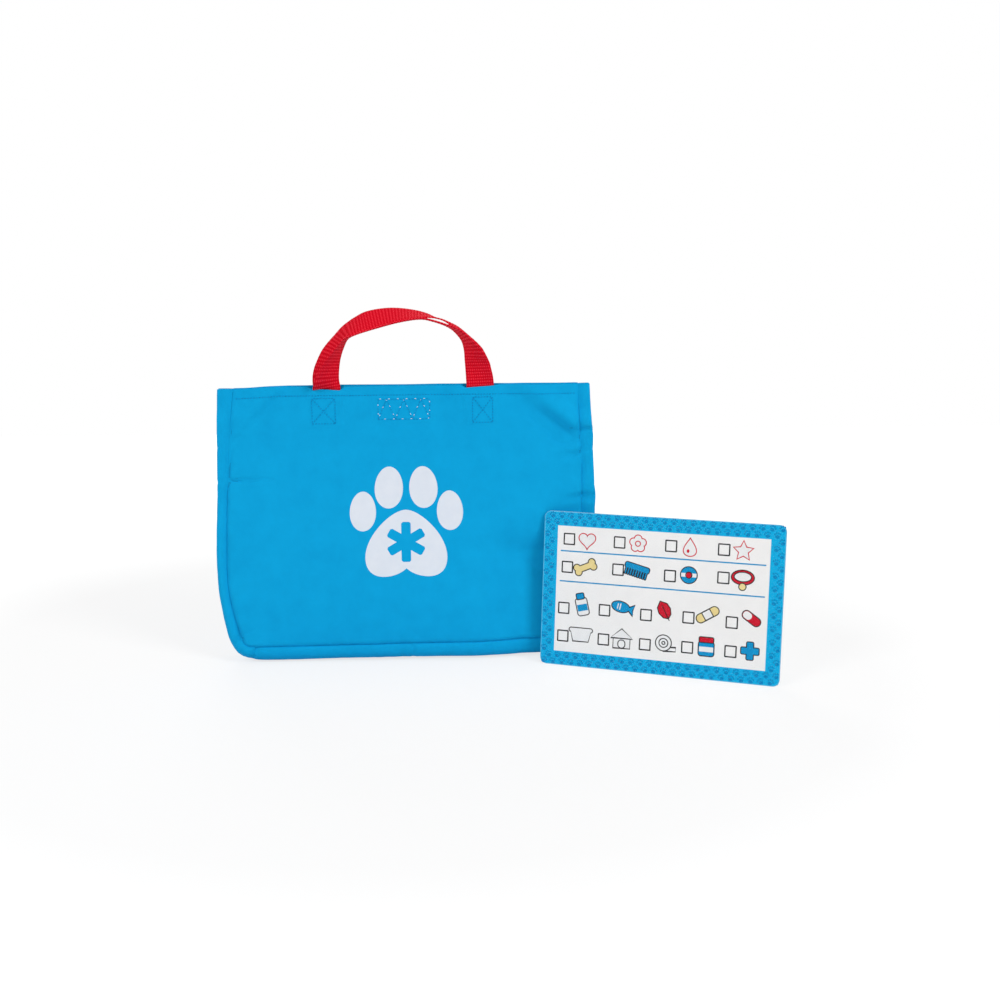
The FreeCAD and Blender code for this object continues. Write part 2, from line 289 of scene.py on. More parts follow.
# Soft folds: x and z of both ends, width, depth as a valley, and how far the cloth above stands over the
# cloth below, all in millimetres; each fades towards its second end
FOLDS = {
    FRONT: (
        (147, 214.5, 102, 250, 11.5, -2.2, 10.6),
        (134, 98, 64, 117, 16, 1.0, 6.0),
        (159, 192, 138, 190, 5.2, 1.0, 3.6),
        (160, 212, 146, 214, 2.6, 1.0, 0.6),
        (160, 152, 145, 150, 3.6, 1.8, 1.8),
        (-160, 169, -118, 170, 2, 1.8, 1.6),
        (-157, 206, -142, 208, 2.6, 1.0, 0.5),
        (-112, 247, -156, 205, 5, -0.2, 1.8),
        (-152, 24, -138, 36, 3.5, 1.2, 0.0),
        (-70, 16, -40, 44, 14, 0.6, 0.8),
        (40, 246, 62, 170, 16, 0.0, 1.6),
    ),
    BACK: (
        (-118, 250, -150, 200, 9, 0.3, 2.2),
        (-160, 150, -128, 160, 3, 1.1, 0.5),
        (160, 176, 124, 168, 3, 1.1, 0.5),
        (100, 250, 128, 214, 8, 0.3, 1.6),
        (152, 24, 136, 40, 3.5, 1.0, 0.0),
        (-20, 30, 60, 60, 16, 0.8, 0.8),
    ),
}
FOLD_FADE = 0.75

# The mouth's edge: its drop below the solids' top, the sag of its left end, and where the front strap's
# ends press it down (x of both sides and the drop at each)
EDGE_DROP = {FRONT: 1.7 * MM, BACK: 1.0 * MM}
EDGE_WAVE = 0.3 * MM
EDGE_LENGTH = 34 * MM
EDGE_SEEDS = (3.3, 0.5)
LEFT_SAG = 2.0 * MM
SAG_START = 100 * MM
SAG_RUN = 48 * MM
STRAP_DIPS = (
    (-81.5 * MM, -57 * MM, 2 * MM, 3.6 * MM),
    (56 * MM, 80.5 * MM, 2.4 * MM, 0.8 * MM),
)
DIP_EASE = 5 * MM

# The hollow that the card presses into the front panel: across and up, where it starts, is full and ends,
# and its share of the depth at its foot
HOLLOW = 11 * MM
HOLLOW_SIDES = (66 * MM, 112 * MM, 140 * MM, 162 * MM)
HOLLOW_HEIGHTS = (6 * MM, 60 * MM, 92 * MM, 140 * MM)
HOLLOW_FOOT_SHARE = 0.5


def half_depth(z):
    """Half the bag's depth at the seams."""
    left_to_rise = clamp((BAG_TOP - z) / (BAG_TOP - SEAM_HEIGHT))
    return MOUTH_HALF + (BASE_HALF - MOUTH_HALF) * left_to_rise ** 2


def crown(x, z):
    """How far the filled middle of a panel stands out."""
    risen = clamp((z - SEAM_HEIGHT) / (BAG_TOP - SEAM_HEIGHT))
    swell = 4 * risen * (1 - risen) ** 3 / CROWN_PEAK_SHARE
    return PANEL_CROWN * swell * (1 - (x / HALF_WIDTH) ** 2)


def free_edge(x, side):
    """Height of the mouth's edge, under the round of the turned hem, where no strap presses it."""
    height = BAG_TOP - EDGE_DROP[side] - LEFT_SAG * smooth_step((-x - SAG_START) / SAG_RUN)
    seed, level = EDGE_SEEDS
    return height + EDGE_WAVE * wave(x / EDGE_LENGTH, side * seed, level)


def top_edge(x, side):
    """Height of the mouth's edge, under the round of the turned hem."""
    height = free_edge(x, side)
    if side == FRONT:
        for left, right, left_drop, right_drop in STRAP_DIPS:
            drop = left_drop + (right_drop - left_drop) * clamp((x - left) / (right - left))
            height -= drop * plateau(x, left, right, DIP_EASE)
    return height


SEAM = through([[value * MM for value in station] for station in SEAM_STATIONS], SEAM_STEP, 2)
seam_tree = kdtree.KDTree(len(SEAM))
for number, station in enumerate(SEAM):
    seam_tree.insert((station[0], 0, station[1]), number)
seam_tree.balance()


def seam_gap(x, z):
    """Distance to the seam, and the number (with fractions) of the nearest place on it."""
    index, gap = seam_tree.find((x, 0, z))[1:]
    here = Vector((x, z))
    nearest = index
    for first in (index - 1, index):
        if 0 <= first < len(SEAM) - 1:
            start = Vector(SEAM[first][:2])
            leg = Vector(SEAM[first + 1][:2]) - start
            share = clamp((here - start).dot(leg) / leg.length_squared)
            off = (here - start - leg * share).length
            if off < gap:
                gap = off
                nearest = first + share
    return gap, nearest


def fold_depth(x, z, side):
    """How far the soft folds push the cloth in."""
    pushed = 0.0
    for start_x, start_z, end_x, end_z, width, valley, step in FOLDS[side]:
        run = Vector((end_x - start_x, end_z - start_z))
        offset = Vector((x / MM - start_x, z / MM - start_z))
        along = clamp(offset.dot(run) / run.length_squared)
        upward = Vector((-run.y, run.x)).normalized()
        if upward.y < 0:
            upward.negate()
        off = offset - run * along
        above = off.dot(upward) / width
        pushed += (valley - step * above) * bell(off.length / width) * (1 - FOLD_FADE * along) * MM
    return pushed


def hollow(x, z):
    """How far the card presses the front panel in."""
    left, full_left, full_right, right = HOLLOW_SIDES
    foot, full_foot, full_head, head = HOLLOW_HEIGHTS
    across = smooth_step((x - left) / (full_left - left)) * smooth_step((right - x) / (right - full_right))
    low = HOLLOW_FOOT_SHARE + (1 - HOLLOW_FOOT_SHARE) * smooth_step((z - foot) / (full_foot - foot))
    return HOLLOW * across * low * smooth_step((head - z) / (head - full_head))


def relief(x, z):
    """How far the sewn-in strap ends and the closure patch press the cloth out."""
    tails = plateau(abs(x), LEG_INNER, LEG_OUTER, RELIEF_EASE) * plateau(z, TAIL_FOOT, BAG_TOP, RELIEF_EASE)
    patch = plateau(x, PATCH_LOW[0], PATCH_HIGH[0], RELIEF_EASE)
    patch *= plateau(z, PATCH_LOW[2], PATCH_HIGH[2], RELIEF_EASE)
    return RELIEF * max(tails, patch)


def panel_y(x, z, side):
    """Y of a panel's outer face."""
    gap, place = seam_gap(x, z)
    dip = line_values(SEAM, place)[3]
    run = place * SEAM_STEP
    depth = half_depth(z) + crown(x, z) + relief(x, z)
    depth -= dip * bell(gap / SEAM_DIP_REACH) + SEAM_GROOVE * math.exp(-gap / GROOVE_REACH)
    depth -= fold_depth(x, z, side)
    loose = smooth_step((BAG_TOP - z) / LOOSE_BELOW)
    depth += BROAD_WAVE * loose * wave(x / BROAD_LENGTH, z / BROAD_LENGTH, BROAD_SEED * side)
    pucker = wave(run / PUCKER_LENGTH, gap / PUCKER_WIDTH, PUCKER_SEED * side)
    depth += PUCKER * math.exp(-gap / PUCKER_REACH) * pucker
    hem = bell((BAG_TOP - HEM - z) / HEM_RIPPLE_REACH)
    depth += HEM_RIPPLE * hem * wave(x / HEM_RIPPLE_LENGTH, z / HEM_RIPPLE_HEIGHT, HEM_RIPPLE_SEED * side)
    if side == FRONT:
        depth -= hollow(x, z)
    return side * max(depth, LEAST_DEPTH)


def on_panel(x, z, side, lift=0.0):
    """A point of a panel's outer face, or a lift outside it (inside if negative)."""
    return Vector((x, panel_y(x, z, side) + side * lift, z))


# Materials

WAVE_SCALE = math.pi / 10
GRAIN_SCALE = 900
GRAIN_DEPTH = 0.2 * MM
MOTTLE_SPREAD = (0.3, 0.7)
THREAD_WANDER = 0.6
WEAVE_STRENGTH = 0.3
WEAVE_DEPTH = 0.15 * MM
CLOTH_MOTTLE = 55
CLOTH_SPREAD = (0.28, 0.72)
RIB_PITCH = 2.7 * MM
# Webbing colour set by the rib relief: painted shade in the hollows and a painted pinkish highlight on the
# rib tops
RIB_PAINTED_SHADE_AND_HIGHLIGHT = ((0, (0.62, 0.002, 0.013)), (0.45, (0.83, 0.006, 0.026)), (1, (0.90, 0.05, 0.075)))
RIB_STRENGTH = 0.4
RIB_DEPTH = 0.35 * MM
YARN_PITCH = 2 * MM
YARN_WANDER = 0.4
YARN_LOW = 0.15
# Where the tape's colour turns from the lighter tuft tops to the darker gaps: painted highlight and painted
# shade
TUFT_PAINTED_SHADE_SPREAD = (0.1, 0.6)
TUFT_STRENGTH = 0.8
TUFT_DEPTH = 0.6 * MM
HAZE_SCALE = 30
HAZE_LOW = (0.24, 0.24, 0.24)
HAZE_HIGH = (0.32, 0.32, 0.32)
FILM_TINT = (0.8, 0.82, 0.84, 1)
FILM_ALPHA = 0.006


def new_material(name, roughness, specular):
    material = bpy.data.materials.new(name)
    material.use_nodes = True
    shader = material.node_tree.nodes["Principled BSDF"]
    shader.inputs["Roughness"].default_value = roughness
    shader.inputs["Specular IOR Level"].default_value = specular
    return material, material.node_tree, shader


def add_node(tree, kind, inputs=None, **settings):
    made = tree.nodes.new(kind)
    for name, value in settings.items():
        setattr(made, name, value)
    for name, value in (inputs or {}).items():
        made.inputs[name].default_value = value
    return made


def link(tree, source, output, target, socket):
    tree.links.new(source.outputs[output], target.inputs[socket])


def combined(tree, operation, *values):
    """One number from two, each given as a node and its output."""
    made = add_node(tree, "ShaderNodeMath", operation=operation)
    for socket, (source, output) in enumerate(values):
        link(tree, source, output, made, socket)
    return made


def texture(tree, kind, **inputs):
    """A texture in the object's own coordinates."""
    place = add_node(tree, "ShaderNodeTexCoord")
    made = add_node(tree, "ShaderNodeTex" + kind, inputs)
    link(tree, place, "Object", made, "Vector")
    return made


def bands(tree, source, output, pitch, direction, wander):
    """A wave texture with one band to each pitch."""
    inputs = {"Scale": WAVE_SCALE / pitch, "Distortion": wander}
    made = add_node(tree, "ShaderNodeTexWave", inputs, bands_direction=direction)
    link(tree, source, output, made, "Vector")
    return made


def add_shades(tree, shader, source, output, stops, socket="Base Color"):
    """Colour, or another input of the shader, from a texture's value."""
    ramp = add_node(tree, "ShaderNodeValToRGB")
    elements = ramp.color_ramp.elements
    while len(elements) < len(stops):
        elements.new(0.5)
    for element, (place, colour) in zip(elements, stops):
        element.position = place
        element.color = (*colour, 1)
    link(tree, source, output, ramp, "Fac")
    link(tree, ramp, "Color", shader, socket)


def add_relief(tree, shader, source, output, strength, distance, invert=False):
    """Bump from a texture's value."""
    bump = add_node(tree, "ShaderNodeBump", {"Strength": strength, "Distance": distance}, invert=invert)
    link(tree, source, output, bump, "Height")
    link(tree, bump, "Normal", shader, "Normal")


def mottled(name, dark, light, scale, roughness, specular, grain=0.0):
    """A surface whose colour wanders softly between two shades, with a fine grain."""
    material, tree, shader = new_material(name, roughness, specular)
    spots = texture(tree, "Noise", Scale=scale, Detail=4, Roughness=0.6)
    add_shades(tree, shader, spots, "Fac", list(zip(MOTTLE_SPREAD, (dark, light))))
    if grain:
        fine = texture(tree, "Noise", Scale=GRAIN_SCALE, Detail=2)
        add_relief(tree, shader, fine, "Fac", grain, GRAIN_DEPTH)
    return material


def woven(name, dark, light, thread, roughness, specular):
    """Plain-woven cloth: crossing threads over a soft mottle."""
    material, tree, shader = new_material(name, roughness, specular)
    place = add_node(tree, "ShaderNodeTexCoord")
    axes = add_node(tree, "ShaderNodeSeparateXYZ")
    link(tree, place, "Object", axes, "Vector")
    flat = add_node(tree, "ShaderNodeCombineXYZ")
    link(tree, combined(tree, "ADD", (axes, "X"), (axes, "Y")), "Value", flat, "X")
    link(tree, axes, "Z", flat, "Y")
    threads = [bands(tree, flat, "Vector", thread, direction, THREAD_WANDER) for direction in "XY"]
    weave = combined(tree, "MULTIPLY", *[(way, "Fac") for way in threads])
    add_relief(tree, shader, weave, "Value", WEAVE_STRENGTH, WEAVE_DEPTH)
    mottle = texture(tree, "Noise", Scale=CLOTH_MOTTLE, Detail=6, Roughness=0.7)
    add_shades(tree, shader, mottle, "Fac", list(zip(CLOTH_SPREAD, (dark, light))))
    return material


def webbing_material():
    """Ribbed red webbing: ribs across the strap, each a row of rounded yarns; its colour is painted darker
    in the hollows between yarns and pinker on their tops, as painted shade and painted highlight.
    """
    material, tree, shader = new_material("red_webbing", 0.75, 0.04)
    strip = add_node(tree, "ShaderNodeUVMap", uv_map="strip")
    ribs = bands(tree, strip, "UV", RIB_PITCH, "X", 0)
    yarns = bands(tree, strip, "UV", YARN_PITCH, "Y", YARN_WANDER)
    rounded = add_node(tree, "ShaderNodeMapRange", {"To Min": YARN_LOW, "To Max": 1})
    link(tree, yarns, "Fac", rounded, "Value")
    weave = combined(tree, "MULTIPLY", (ribs, "Fac"), (rounded, "Result"))
    # painted shade and highlight, following the same relief as the bump below
    add_shades(tree, shader, weave, "Value", RIB_PAINTED_SHADE_AND_HIGHLIGHT)
    add_relief(tree, shader, weave, "Value", RIB_STRENGTH, RIB_DEPTH)
    return material


def fuzzy_tape(name, dark, light, scale):
    """Hook-and-loop tape: a dense field of tiny raised tufts, its colour painted lighter on the tuft tops
    and darker in the gaps between them, as painted highlight and painted shade.
    """
    material, tree, shader = new_material(name, 0.8, 0.2)
    tufts = texture(tree, "Voronoi", Scale=scale)
    # painted shade in the gaps between tufts and a painted highlight on their tops, following the relief
    add_shades(tree, shader, tufts, "Distance", list(zip(TUFT_PAINTED_SHADE_SPREAD, (light, dark))))
    add_relief(tree, shader, tufts, "Distance", TUFT_STRENGTH, TUFT_DEPTH, invert=True)
    return material


def clear_film():
    """Satin laminate: almost clear, with a soft gloss of its own."""
    material, tree, shader = new_material("clear_film", 0.3, 0.5)
    haze = texture(tree, "Noise", Scale=HAZE_SCALE, Detail=2)
    stops = list(zip(MOTTLE_SPREAD, (HAZE_LOW, HAZE_HIGH)))
    add_shades(tree, shader, haze, "Fac", stops, "Roughness")
    shader.inputs["Base Color"].default_value = FILM_TINT
    shader.inputs["Alpha"].default_value = FILM_ALPHA
    return material


# Each look: dark and light shade, size of a thread or scale of the mottle, roughness, specular, grain
bag_cloth = woven("bag_cloth", (0.001, 0.34, 0.68), (0.002, 0.385, 0.74), 0.55 * MM, 0.8, 0.08)
binding_cloth = woven("binding_cloth", (0.001, 0.25, 0.52), (0.003, 0.30, 0.60), 0.8 * MM, 0.85, 0.08)
red_webbing = webbing_material()
blue_thread = mottled("blue_thread", (0.001, 0.20, 0.47), (0.004, 0.31, 0.64), 400, 0.7, 0.1)
pale_thread = mottled("pale_thread", (0.60, 0.80, 0.90), (0.85, 0.93, 0.97), 400, 0.5, 0.2)
# For the tapes, the dark shade is painted shade between the tufts and the light one a painted highlight on
# them
hook_tape = fuzzy_tape("hook_tape", (0.002, 0.20, 0.45), (0.01, 0.34, 0.66), 900)
loop_tape = fuzzy_tape("loop_tape", (0.004, 0.27, 0.55), (0.02, 0.42, 0.76), 1500)
print_ink = mottled("print_ink", (0.71, 0.765, 0.85), (0.765, 0.81, 0.88), 60, 0.6, 0.1, 0.15)
grey_board = mottled("grey_board", (0.58, 0.57, 0.55), (0.72, 0.71, 0.69), 500, 0.85, 0.2, 0.2)
white_paper = mottled("white_paper", (0.89, 0.88, 0.87), (0.92, 0.91, 0.90), 80, 0.45, 0.1)
film = clear_film()
INKS = {
    "border": mottled("card_border_ink", (0.001, 0.39, 0.72), (0.004, 0.46, 0.80), 600, 0.4, 0.03),
    "marks": mottled("card_mark_ink", (0.0, 0.20, 0.50), (0.002, 0.29, 0.61), 600, 0.4, 0.03),
    # The paler ink of the ring at the card's very edge is a painted highlight along the edge
    "painted_rim_highlight": mottled("card_rim_painted_highlight", (0.05, 0.45, 0.74), (0.09, 0.52, 0.80), 150, 0.4, 0.2),
    "blue": mottled("card_blue_ink", (0.002, 0.27, 0.57), (0.005, 0.32, 0.64), 150, 0.45, 0.04),
    "red": mottled("card_red_ink", (0.58, 0.008, 0.025), (0.66, 0.012, 0.035), 150, 0.45, 0.04),
    "yellow": mottled("card_yellow_ink", (0.82, 0.66, 0.28), (0.87, 0.72, 0.34), 150, 0.45, 0.04),
    "white": mottled("card_white_ink", (0.84, 0.84, 0.84), (0.88, 0.88, 0.88), 150, 0.45, 0.04),
    "line": mottled("card_line_ink", (0.012, 0.012, 0.014), (0.025, 0.024, 0.026), 150, 0.45, 0.04),
}


# Panels

PANEL_ROWS = 150
PANEL_COLUMNS = 210
FOLD_ROWS = 6
HEM_ROWS = 5
HEM_RADIUS = 0.7 * MM
CLOTH = 0.5 * MM
CORNERS = ((-150.5 * MM, 21 * MM), (150.8 * MM, 22 * MM))
EVEN_PART = 0.55
CROWDED_PART = 0.45


def toward_ends(share):
    """Spreads even shares so that more of them lie near 0 and 1."""
    return EVEN_PART * share + CROWDED_PART * (1 - math.cos(math.pi * share)) / 2


def line_at(line, share):
    """A point of an even polyline at a share of its length."""
    return Vector(line_values(line, share * (len(line) - 1))[:2])


def panel_places(side):
    """Rows of (x, z) over a panel, laid between the seam and the mouth's edge."""
    left_turn, right_turn = [seam_tree.find((x, 0, z))[1] for x, z in CORNERS]
    left = SEAM[left_turn::-1]
    base = SEAM[left_turn:right_turn + 1]
    right = SEAM[right_turn:]
    ends = (left[0], right[0], left[-1], right[-1])
    low_left, low_right, high_left, high_right = [Vector(end[:2]) for end in ends]
    rows = []
    for row in range(PANEL_ROWS + 1):
        v = toward_ends(row / PANEL_ROWS)
        places = []
        for column in range(PANEL_COLUMNS + 1):
            u = toward_ends(column / PANEL_COLUMNS)
            top_x = high_left.x * (1 - u) + high_right.x * u
            top = Vector((top_x, top_edge(top_x, side)))
            place = line_at(base, u) * (1 - v) + top * v + line_at(left, v) * (1 - u)
            place += line_at(right, v) * u
            low = low_left * (1 - u) + low_right * u
            high = high_left * (1 - u) + high_right * u
            place -= low * (1 - v) + high * v
            places.append(place)
        rows.append(places)
    return rows


def panel(side):
    """One panel with its hem turned over the mouth's edge and down inside."""
    verts = []
    rows = panel_places(side)
    for places in rows:
        verts += [on_panel(x, z, side) for x, z in places]
    for row in range(1, FOLD_ROWS + 1):
        turn = math.pi * row / FOLD_ROWS
        for x, z in rows[-1]:
            over = on_panel(x, z, side, HEM_RADIUS * (math.cos(turn) - 1))
            over.z += HEM_RADIUS * math.sin(turn)
            verts.append(over)
    for row in range(1, HEM_ROWS + 1):
        drop = HEM * row / HEM_ROWS
        verts += [on_panel(x, z - drop, side, -2 * HEM_RADIUS) for x, z in rows[-1]]
    name = SIDE_NAME[side] + "_panel_cloth"
    piece = cloth_piece(name, verts, PANEL_COLUMNS + 1, bag_cloth, CLOTH, side == BACK)
    settle(piece, PANEL_BODY[side], "bag_cloth", SIDE_NAME[side] + "_panel")


# Gusset

GUSSET_COLUMNS = 48
GUSSET_WIDTH = 50 * MM
GUSSET_FOLD = 12 * MM
GUSSET_FOLD_START = 60 * MM
GUSSET_FOLD_WIDTH = 0.12
GUSSET_ROLL = 1.6 * MM
GUSSET_LIFT = 0.3 * MM
GUSSET_RIPPLE = 0.8 * MM
GUSSET_RIPPLE_LENGTH = 9 * MM
GUSSET_RIPPLE_REACH = 9 * MM
GUSSET_RIPPLES_ACROSS = 3
GUSSET_SEED = 4.4
SIDE_FULLNESS = 0.55
BASE_FULLNESS = 0.95
LEVEL_START = 200 * MM
LEVEL_RUN = 40 * MM

# Creases across the gusset: x and z of the seam there, width, depth, and how far they slant along the strip
# by its middle, in millimetres
GUSSET_CREASES = (
    (-157.4, 198, 2.2, 1.2, 0), (-159.7, 169, 2, 1.8, 3), (-160.9, 152, 4, 1, -4),
    (-152, 24, 2.2, 2.4, 4), (-137, 16.4, 2.2, 4, -7), (4, 17.8, 2.2, 2.6, 0), (70, 18, 4, 1, 8),
    (158.4, 210, 1.8, 1.6, 0), (160.2, 192, 2, 1.2, 2), (160.2, 157, 3, 1.2, 5), (161, 105, 3, 1.2, -4),
    (152, 25, 2.5, 1.4, -4),
)
CREASE_START = 1.2 * MM
CREASE_REACH = 10 * MM
creases = [(seam_gap(x * MM, z * MM)[1] * SEAM_STEP, width * MM, depth * MM, slant * MM)
           for x, z, width, depth, slant in GUSSET_CREASES]


def gusset_station(index):
    """One cross-section of the strip, from the front seam to the back seam."""
    x, z, bulge = SEAM[index][:3]
    along = heading(SEAM, index)
    level = smooth_step((z - LEVEL_START) / LEVEL_RUN)
    outward = Vector((along.y, -along.x * (1 - level)))
    fullness = SIDE_FULLNESS + (BASE_FULLNESS - SIDE_FULLNESS) * along.x ** 2
    run = index * SEAM_STEP
    front = panel_y(x, z, FRONT)
    back = panel_y(x, z, BACK)
    risen = smooth_step((z - GUSSET_FOLD_START) / (BAG_TOP - GUSSET_FOLD_START))
    section = []
    for column in range(GUSSET_COLUMNS + 1):
        share = toward_ends(column / GUSSET_COLUMNS)
        arch = math.sin(math.pi * share)
        flank = math.sin(2 * math.pi * share)
        near = min(share, 1 - share) * GUSSET_WIDTH
        out = bulge * arch ** fullness
        out -= GUSSET_FOLD * risen * bell((share - 0.5) / GUSSET_FOLD_WIDTH)
        ripple = wave(run / GUSSET_RIPPLE_LENGTH, share * GUSSET_RIPPLES_ACROSS, GUSSET_SEED)
        out += GUSSET_RIPPLE * arch * math.exp(-near / GUSSET_RIPPLE_REACH) * ripple
        half = (back - front) / 2 + SEAM_GROOVE * (1 - math.exp(-near / GROOVE_REACH))
        grip = (1 - math.exp(-near / CREASE_START)) * math.exp(-near / CREASE_REACH)
        for place, width, depth, slant in creases:
            crease = depth * grip * bell((run - place - slant * arch) / width)
            out -= crease
            half -= crease
        y = (front + back) / 2 - half * math.cos(math.pi * share) - GUSSET_ROLL * flank
        section.append(Vector((x + outward.x * out, y, max(z + outward.y * out, GUSSET_LIFT))))
    return section


def gusset():
    """One strip of cloth from mouth to mouth, round the sides, the lower corners and the base."""
    verts = []
    for index in range(len(SEAM)):
        verts += gusset_station(index)
    piece = cloth_piece("gusset_cloth", verts, GUSSET_COLUMNS + 1, bag_cloth, CLOTH)
    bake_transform(piece)
    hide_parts("base_gusset", "left_gusset", "right_gusset")


# Seam binding inside the bag

BINDING_WIDTH = 9 * MM
BINDING_COLUMNS = 4
BINDING = 0.5 * MM
BINDING_EDGE = 0.4 * MM
BINDING_GAP = 0.15 * MM
BINDING_BELOW_HEM = 5 * MM
BINDING_TOP = BAG_TOP - HEM - BINDING_BELOW_HEM


def binding(side):
    """Tape over the seam allowance, along the inner face of a panel."""
    verts = []
    for index in range(1, len(SEAM) - 1):
        x, z = SEAM[index][:2]
        if z > BINDING_TOP:
            continue
        along = heading(SEAM, index)
        inward = Vector((-along.y, along.x))
        for column in range(BINDING_COLUMNS + 1):
            place = Vector((x, z)) + inward * (BINDING_EDGE + BINDING_WIDTH * column / BINDING_COLUMNS)
            verts.append(on_panel(place.x, place.y, side, -CLOTH - BINDING_GAP))
    name = SIDE_NAME[side] + "_binding_tape"
    piece = cloth_piece(name, verts, BINDING_COLUMNS + 1, binding_cloth, BINDING, side == BACK)
    settle(piece, PANEL_BODY[side], "binding_tape", SIDE_NAME[side] + "_seam_binding")


# Handles

STRAP_STEP = 0.45 * MM
STRAP_COLUMNS = 12
STRAP_EDGE = 0.01
STRAP_EDGE_POWER = 10
RIB_RISE = 0.1
TAIL_SHARES = (0, 0.25, 0.5, 0.75, 0.93)

# Stations of a strap's free loop: x and height above the mouth of its inner edge, and its tilt away from
# the bag's middle plane, in millimetres and degrees
STRAP_STATIONS = {
    FRONT: (
        (-57.1, 6.3, 36), (-56.5, 16.1, 54), (-55.2, 24, 67), (-53.1, 31.2, 76), (-48.9, 39.8, 83),
        (-41.4, 44.4, 87), (-21.6, 50.3, 86.5), (-1.9, 55.2, 86), (15.8, 57.5, 85), (27.5, 55.4, 85),
        (39.3, 51, 83.5), (46.5, 45.5, 76.5), (52.2, 38, 70), (54.3, 29.9, 53), (54.8, 21, 34),
        (55.4, 11.1, 20),
    ),
    BACK: (
        (-57.4, 6, 13), (-56.6, 15.7, 27), (-55, 24.6, 40.5), (-51.6, 34.3, 55), (-47.6, 41.2, 62),
        (-41.5, 44.5, 58), (-31.6, 47.5, 51), (-21.7, 50.5, 52), (-11.8, 53.3, 57), (-2, 55.4, 63.5),
        (6.9, 56.9, 70.5), (15.8, 58, 78), (22.5, 58.6, 85), (29, 58.4, 92.5), (36, 56.4, 92.5),
        (42, 52.5, 89.5), (48, 47, 84), (53, 38, 73), (55.1, 27.9, 49.5), (55.4, 16.4, 26),
        (55.7, 6, 16),
    ),
}


def strap_line(side):
    """Even points of a strap's inner edge: x, y, z and tilt."""
    loop_y = side * (MOUTH_HALF - TAIL_INSET)

    def tail(hand, share):
        z = TAIL_FOOT + (BAG_TOP - TAIL_FOOT) * share
        y = panel_y(hand * (LEG_INNER + WEBBING_WIDTH / 2), z, side) - side * TAIL_INSET
        return (hand * LEG_INNER, y, z, 0.0)

    points = [tail(-1, share) for share in TAIL_SHARES]
    for x, rise, tilt in STRAP_STATIONS[side]:
        points.append((x * MM, loop_y, BAG_TOP + rise * MM, math.radians(tilt)))
    points += [tail(1, share) for share in reversed(TAIL_SHARES)]
    return through(points, STRAP_STEP, 3)


def strap(side):
    """One webbing strap: sewn ends inside the mouth and the free loop between them, ribbed across."""
    line = strap_line(side)
    columns = 2 * STRAP_COLUMNS
    verts = []
    strip = []
    for index, (x, y, z, tilt) in enumerate(line):
        before = line[max(index - 1, 0)]
        after = line[min(index + 1, len(line) - 1)]
        along = Vector((after[0] - before[0], 0, after[2] - before[2])).normalized()
        outward = Vector((-along.z, 0, along.x))
        across = outward * math.cos(tilt) + Vector((0, side * math.sin(tilt), 0))
        normal = across.cross(along)
        run = index * STRAP_STEP
        swell = 1 + RIB_RISE * math.cos(2 * math.pi * run / RIB_PITCH)
        for column in range(columns):
            upper = column < STRAP_COLUMNS
            number = column if upper else columns - 1 - column
            share = STRAP_EDGE + (1 - 2 * STRAP_EDGE) * number / (STRAP_COLUMNS - 1)
            thick = WEBBING / 2 * math.sqrt(1 - abs(2 * share - 1) ** STRAP_EDGE_POWER) * swell
            point = Vector((x, y, z)) + across * (share * WEBBING_WIDTH)
            verts.append(point + normal * (thick if upper else -thick))
            strip.append((run, share * WEBBING_WIDTH))
    piece = add_piece(SIDE_NAME[side] + "_strap", verts, tube_faces(len(line), columns), red_webbing)
    layer = piece.data.uv_layers.new(name="strip")
    for loop in piece.data.loops:
        layer.data[loop.index].uv = strip[loop.vertex_index]
    body = SIDE_NAME[side] + "_handle"
    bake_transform(piece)
    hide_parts(body + "_loop", body + "_tails")


# Closure patches

PATCH_COLUMNS = 30
PATCH_ROWS = 14
PATCH_INSET = 0.9 * MM
PATCH = 1.7 * MM
PATCH_TAPE = {
    FRONT: ("hook_tape_patch", hook_tape, "hook_patch"),
    BACK: ("loop_tape_patch", loop_tape, "loop_patch"),
}


def closure(side):
    """The hook or loop patch on the inner face of a panel."""
    verts = []
    for row in range(PATCH_ROWS + 1):
        z = PATCH_LOW[2] + (PATCH_HIGH[2] - PATCH_LOW[2]) * row / PATCH_ROWS
        for column in range(PATCH_COLUMNS + 1):
            x = PATCH_LOW[0] + (PATCH_HIGH[0] - PATCH_LOW[0]) * column / PATCH_COLUMNS
            verts.append(on_panel(x, z, side, -PATCH_INSET))
    name, tape, node = PATCH_TAPE[side]
    piece = cloth_piece(name, verts, PATCH_COLUMNS + 1, tape, PATCH, side == BACK)
    settle(piece, PANEL_BODY[side], "closure_tape", node)


# Sewing thread

STITCH = 1.6 * MM
STITCH_PITCH = 2.6 * MM
THREAD_RADIUS = 0.36 * MM
STITCH_SIDES = 6
# Rings of one stitch: share of its length, girth and rise, the last two in radii of the thread
STITCH_PROFILE = ((0, 0.35, -0.25), (0.15, 0.9, 0.3), (0.5, 1, 0.6), (0.85, 0.9, 0.3), (1, 0.35, -0.25))
HEM_LINE_DROP = 7.6 * MM
HEM_LINE_POINTS = 80
HEM_LINE_INSET = 2 * MM
BOX_SIDES = ((-82 * MM, -61.3 * MM), (61.5 * MM, 79.5 * MM))
BOX_ABOVE_FOOT = 1.5 * MM
BOX_BELOW_HEM = 0.8 * MM
BOX_LOW = TAIL_FOOT + BOX_ABOVE_FOOT
BOX_HIGH = BAG_TOP - HEM - BOX_BELOW_HEM
PATCH_MARGIN = 2 * MM
ZIGZAGS = 6
FLECK_EVERY = 3


def add_stitch(verts, faces, start, end, outward):
    """Adds one stitch: a short plump thread that dips into the cloth at both ends."""
    first = len(verts)
    along = (end - start).normalized()
    across = along.cross(outward).normalized()
    up = across.cross(along)
    for share, girth, rise in STITCH_PROFILE:
        middle = start + (end - start) * share + up * (rise * THREAD_RADIUS)
        for turn in turns(STITCH_SIDES):
            verts.append(middle + (across * math.cos(turn) + up * math.sin(turn)) * (girth * THREAD_RADIUS))
    faces += tube_faces(len(STITCH_PROFILE), STITCH_SIDES, first)


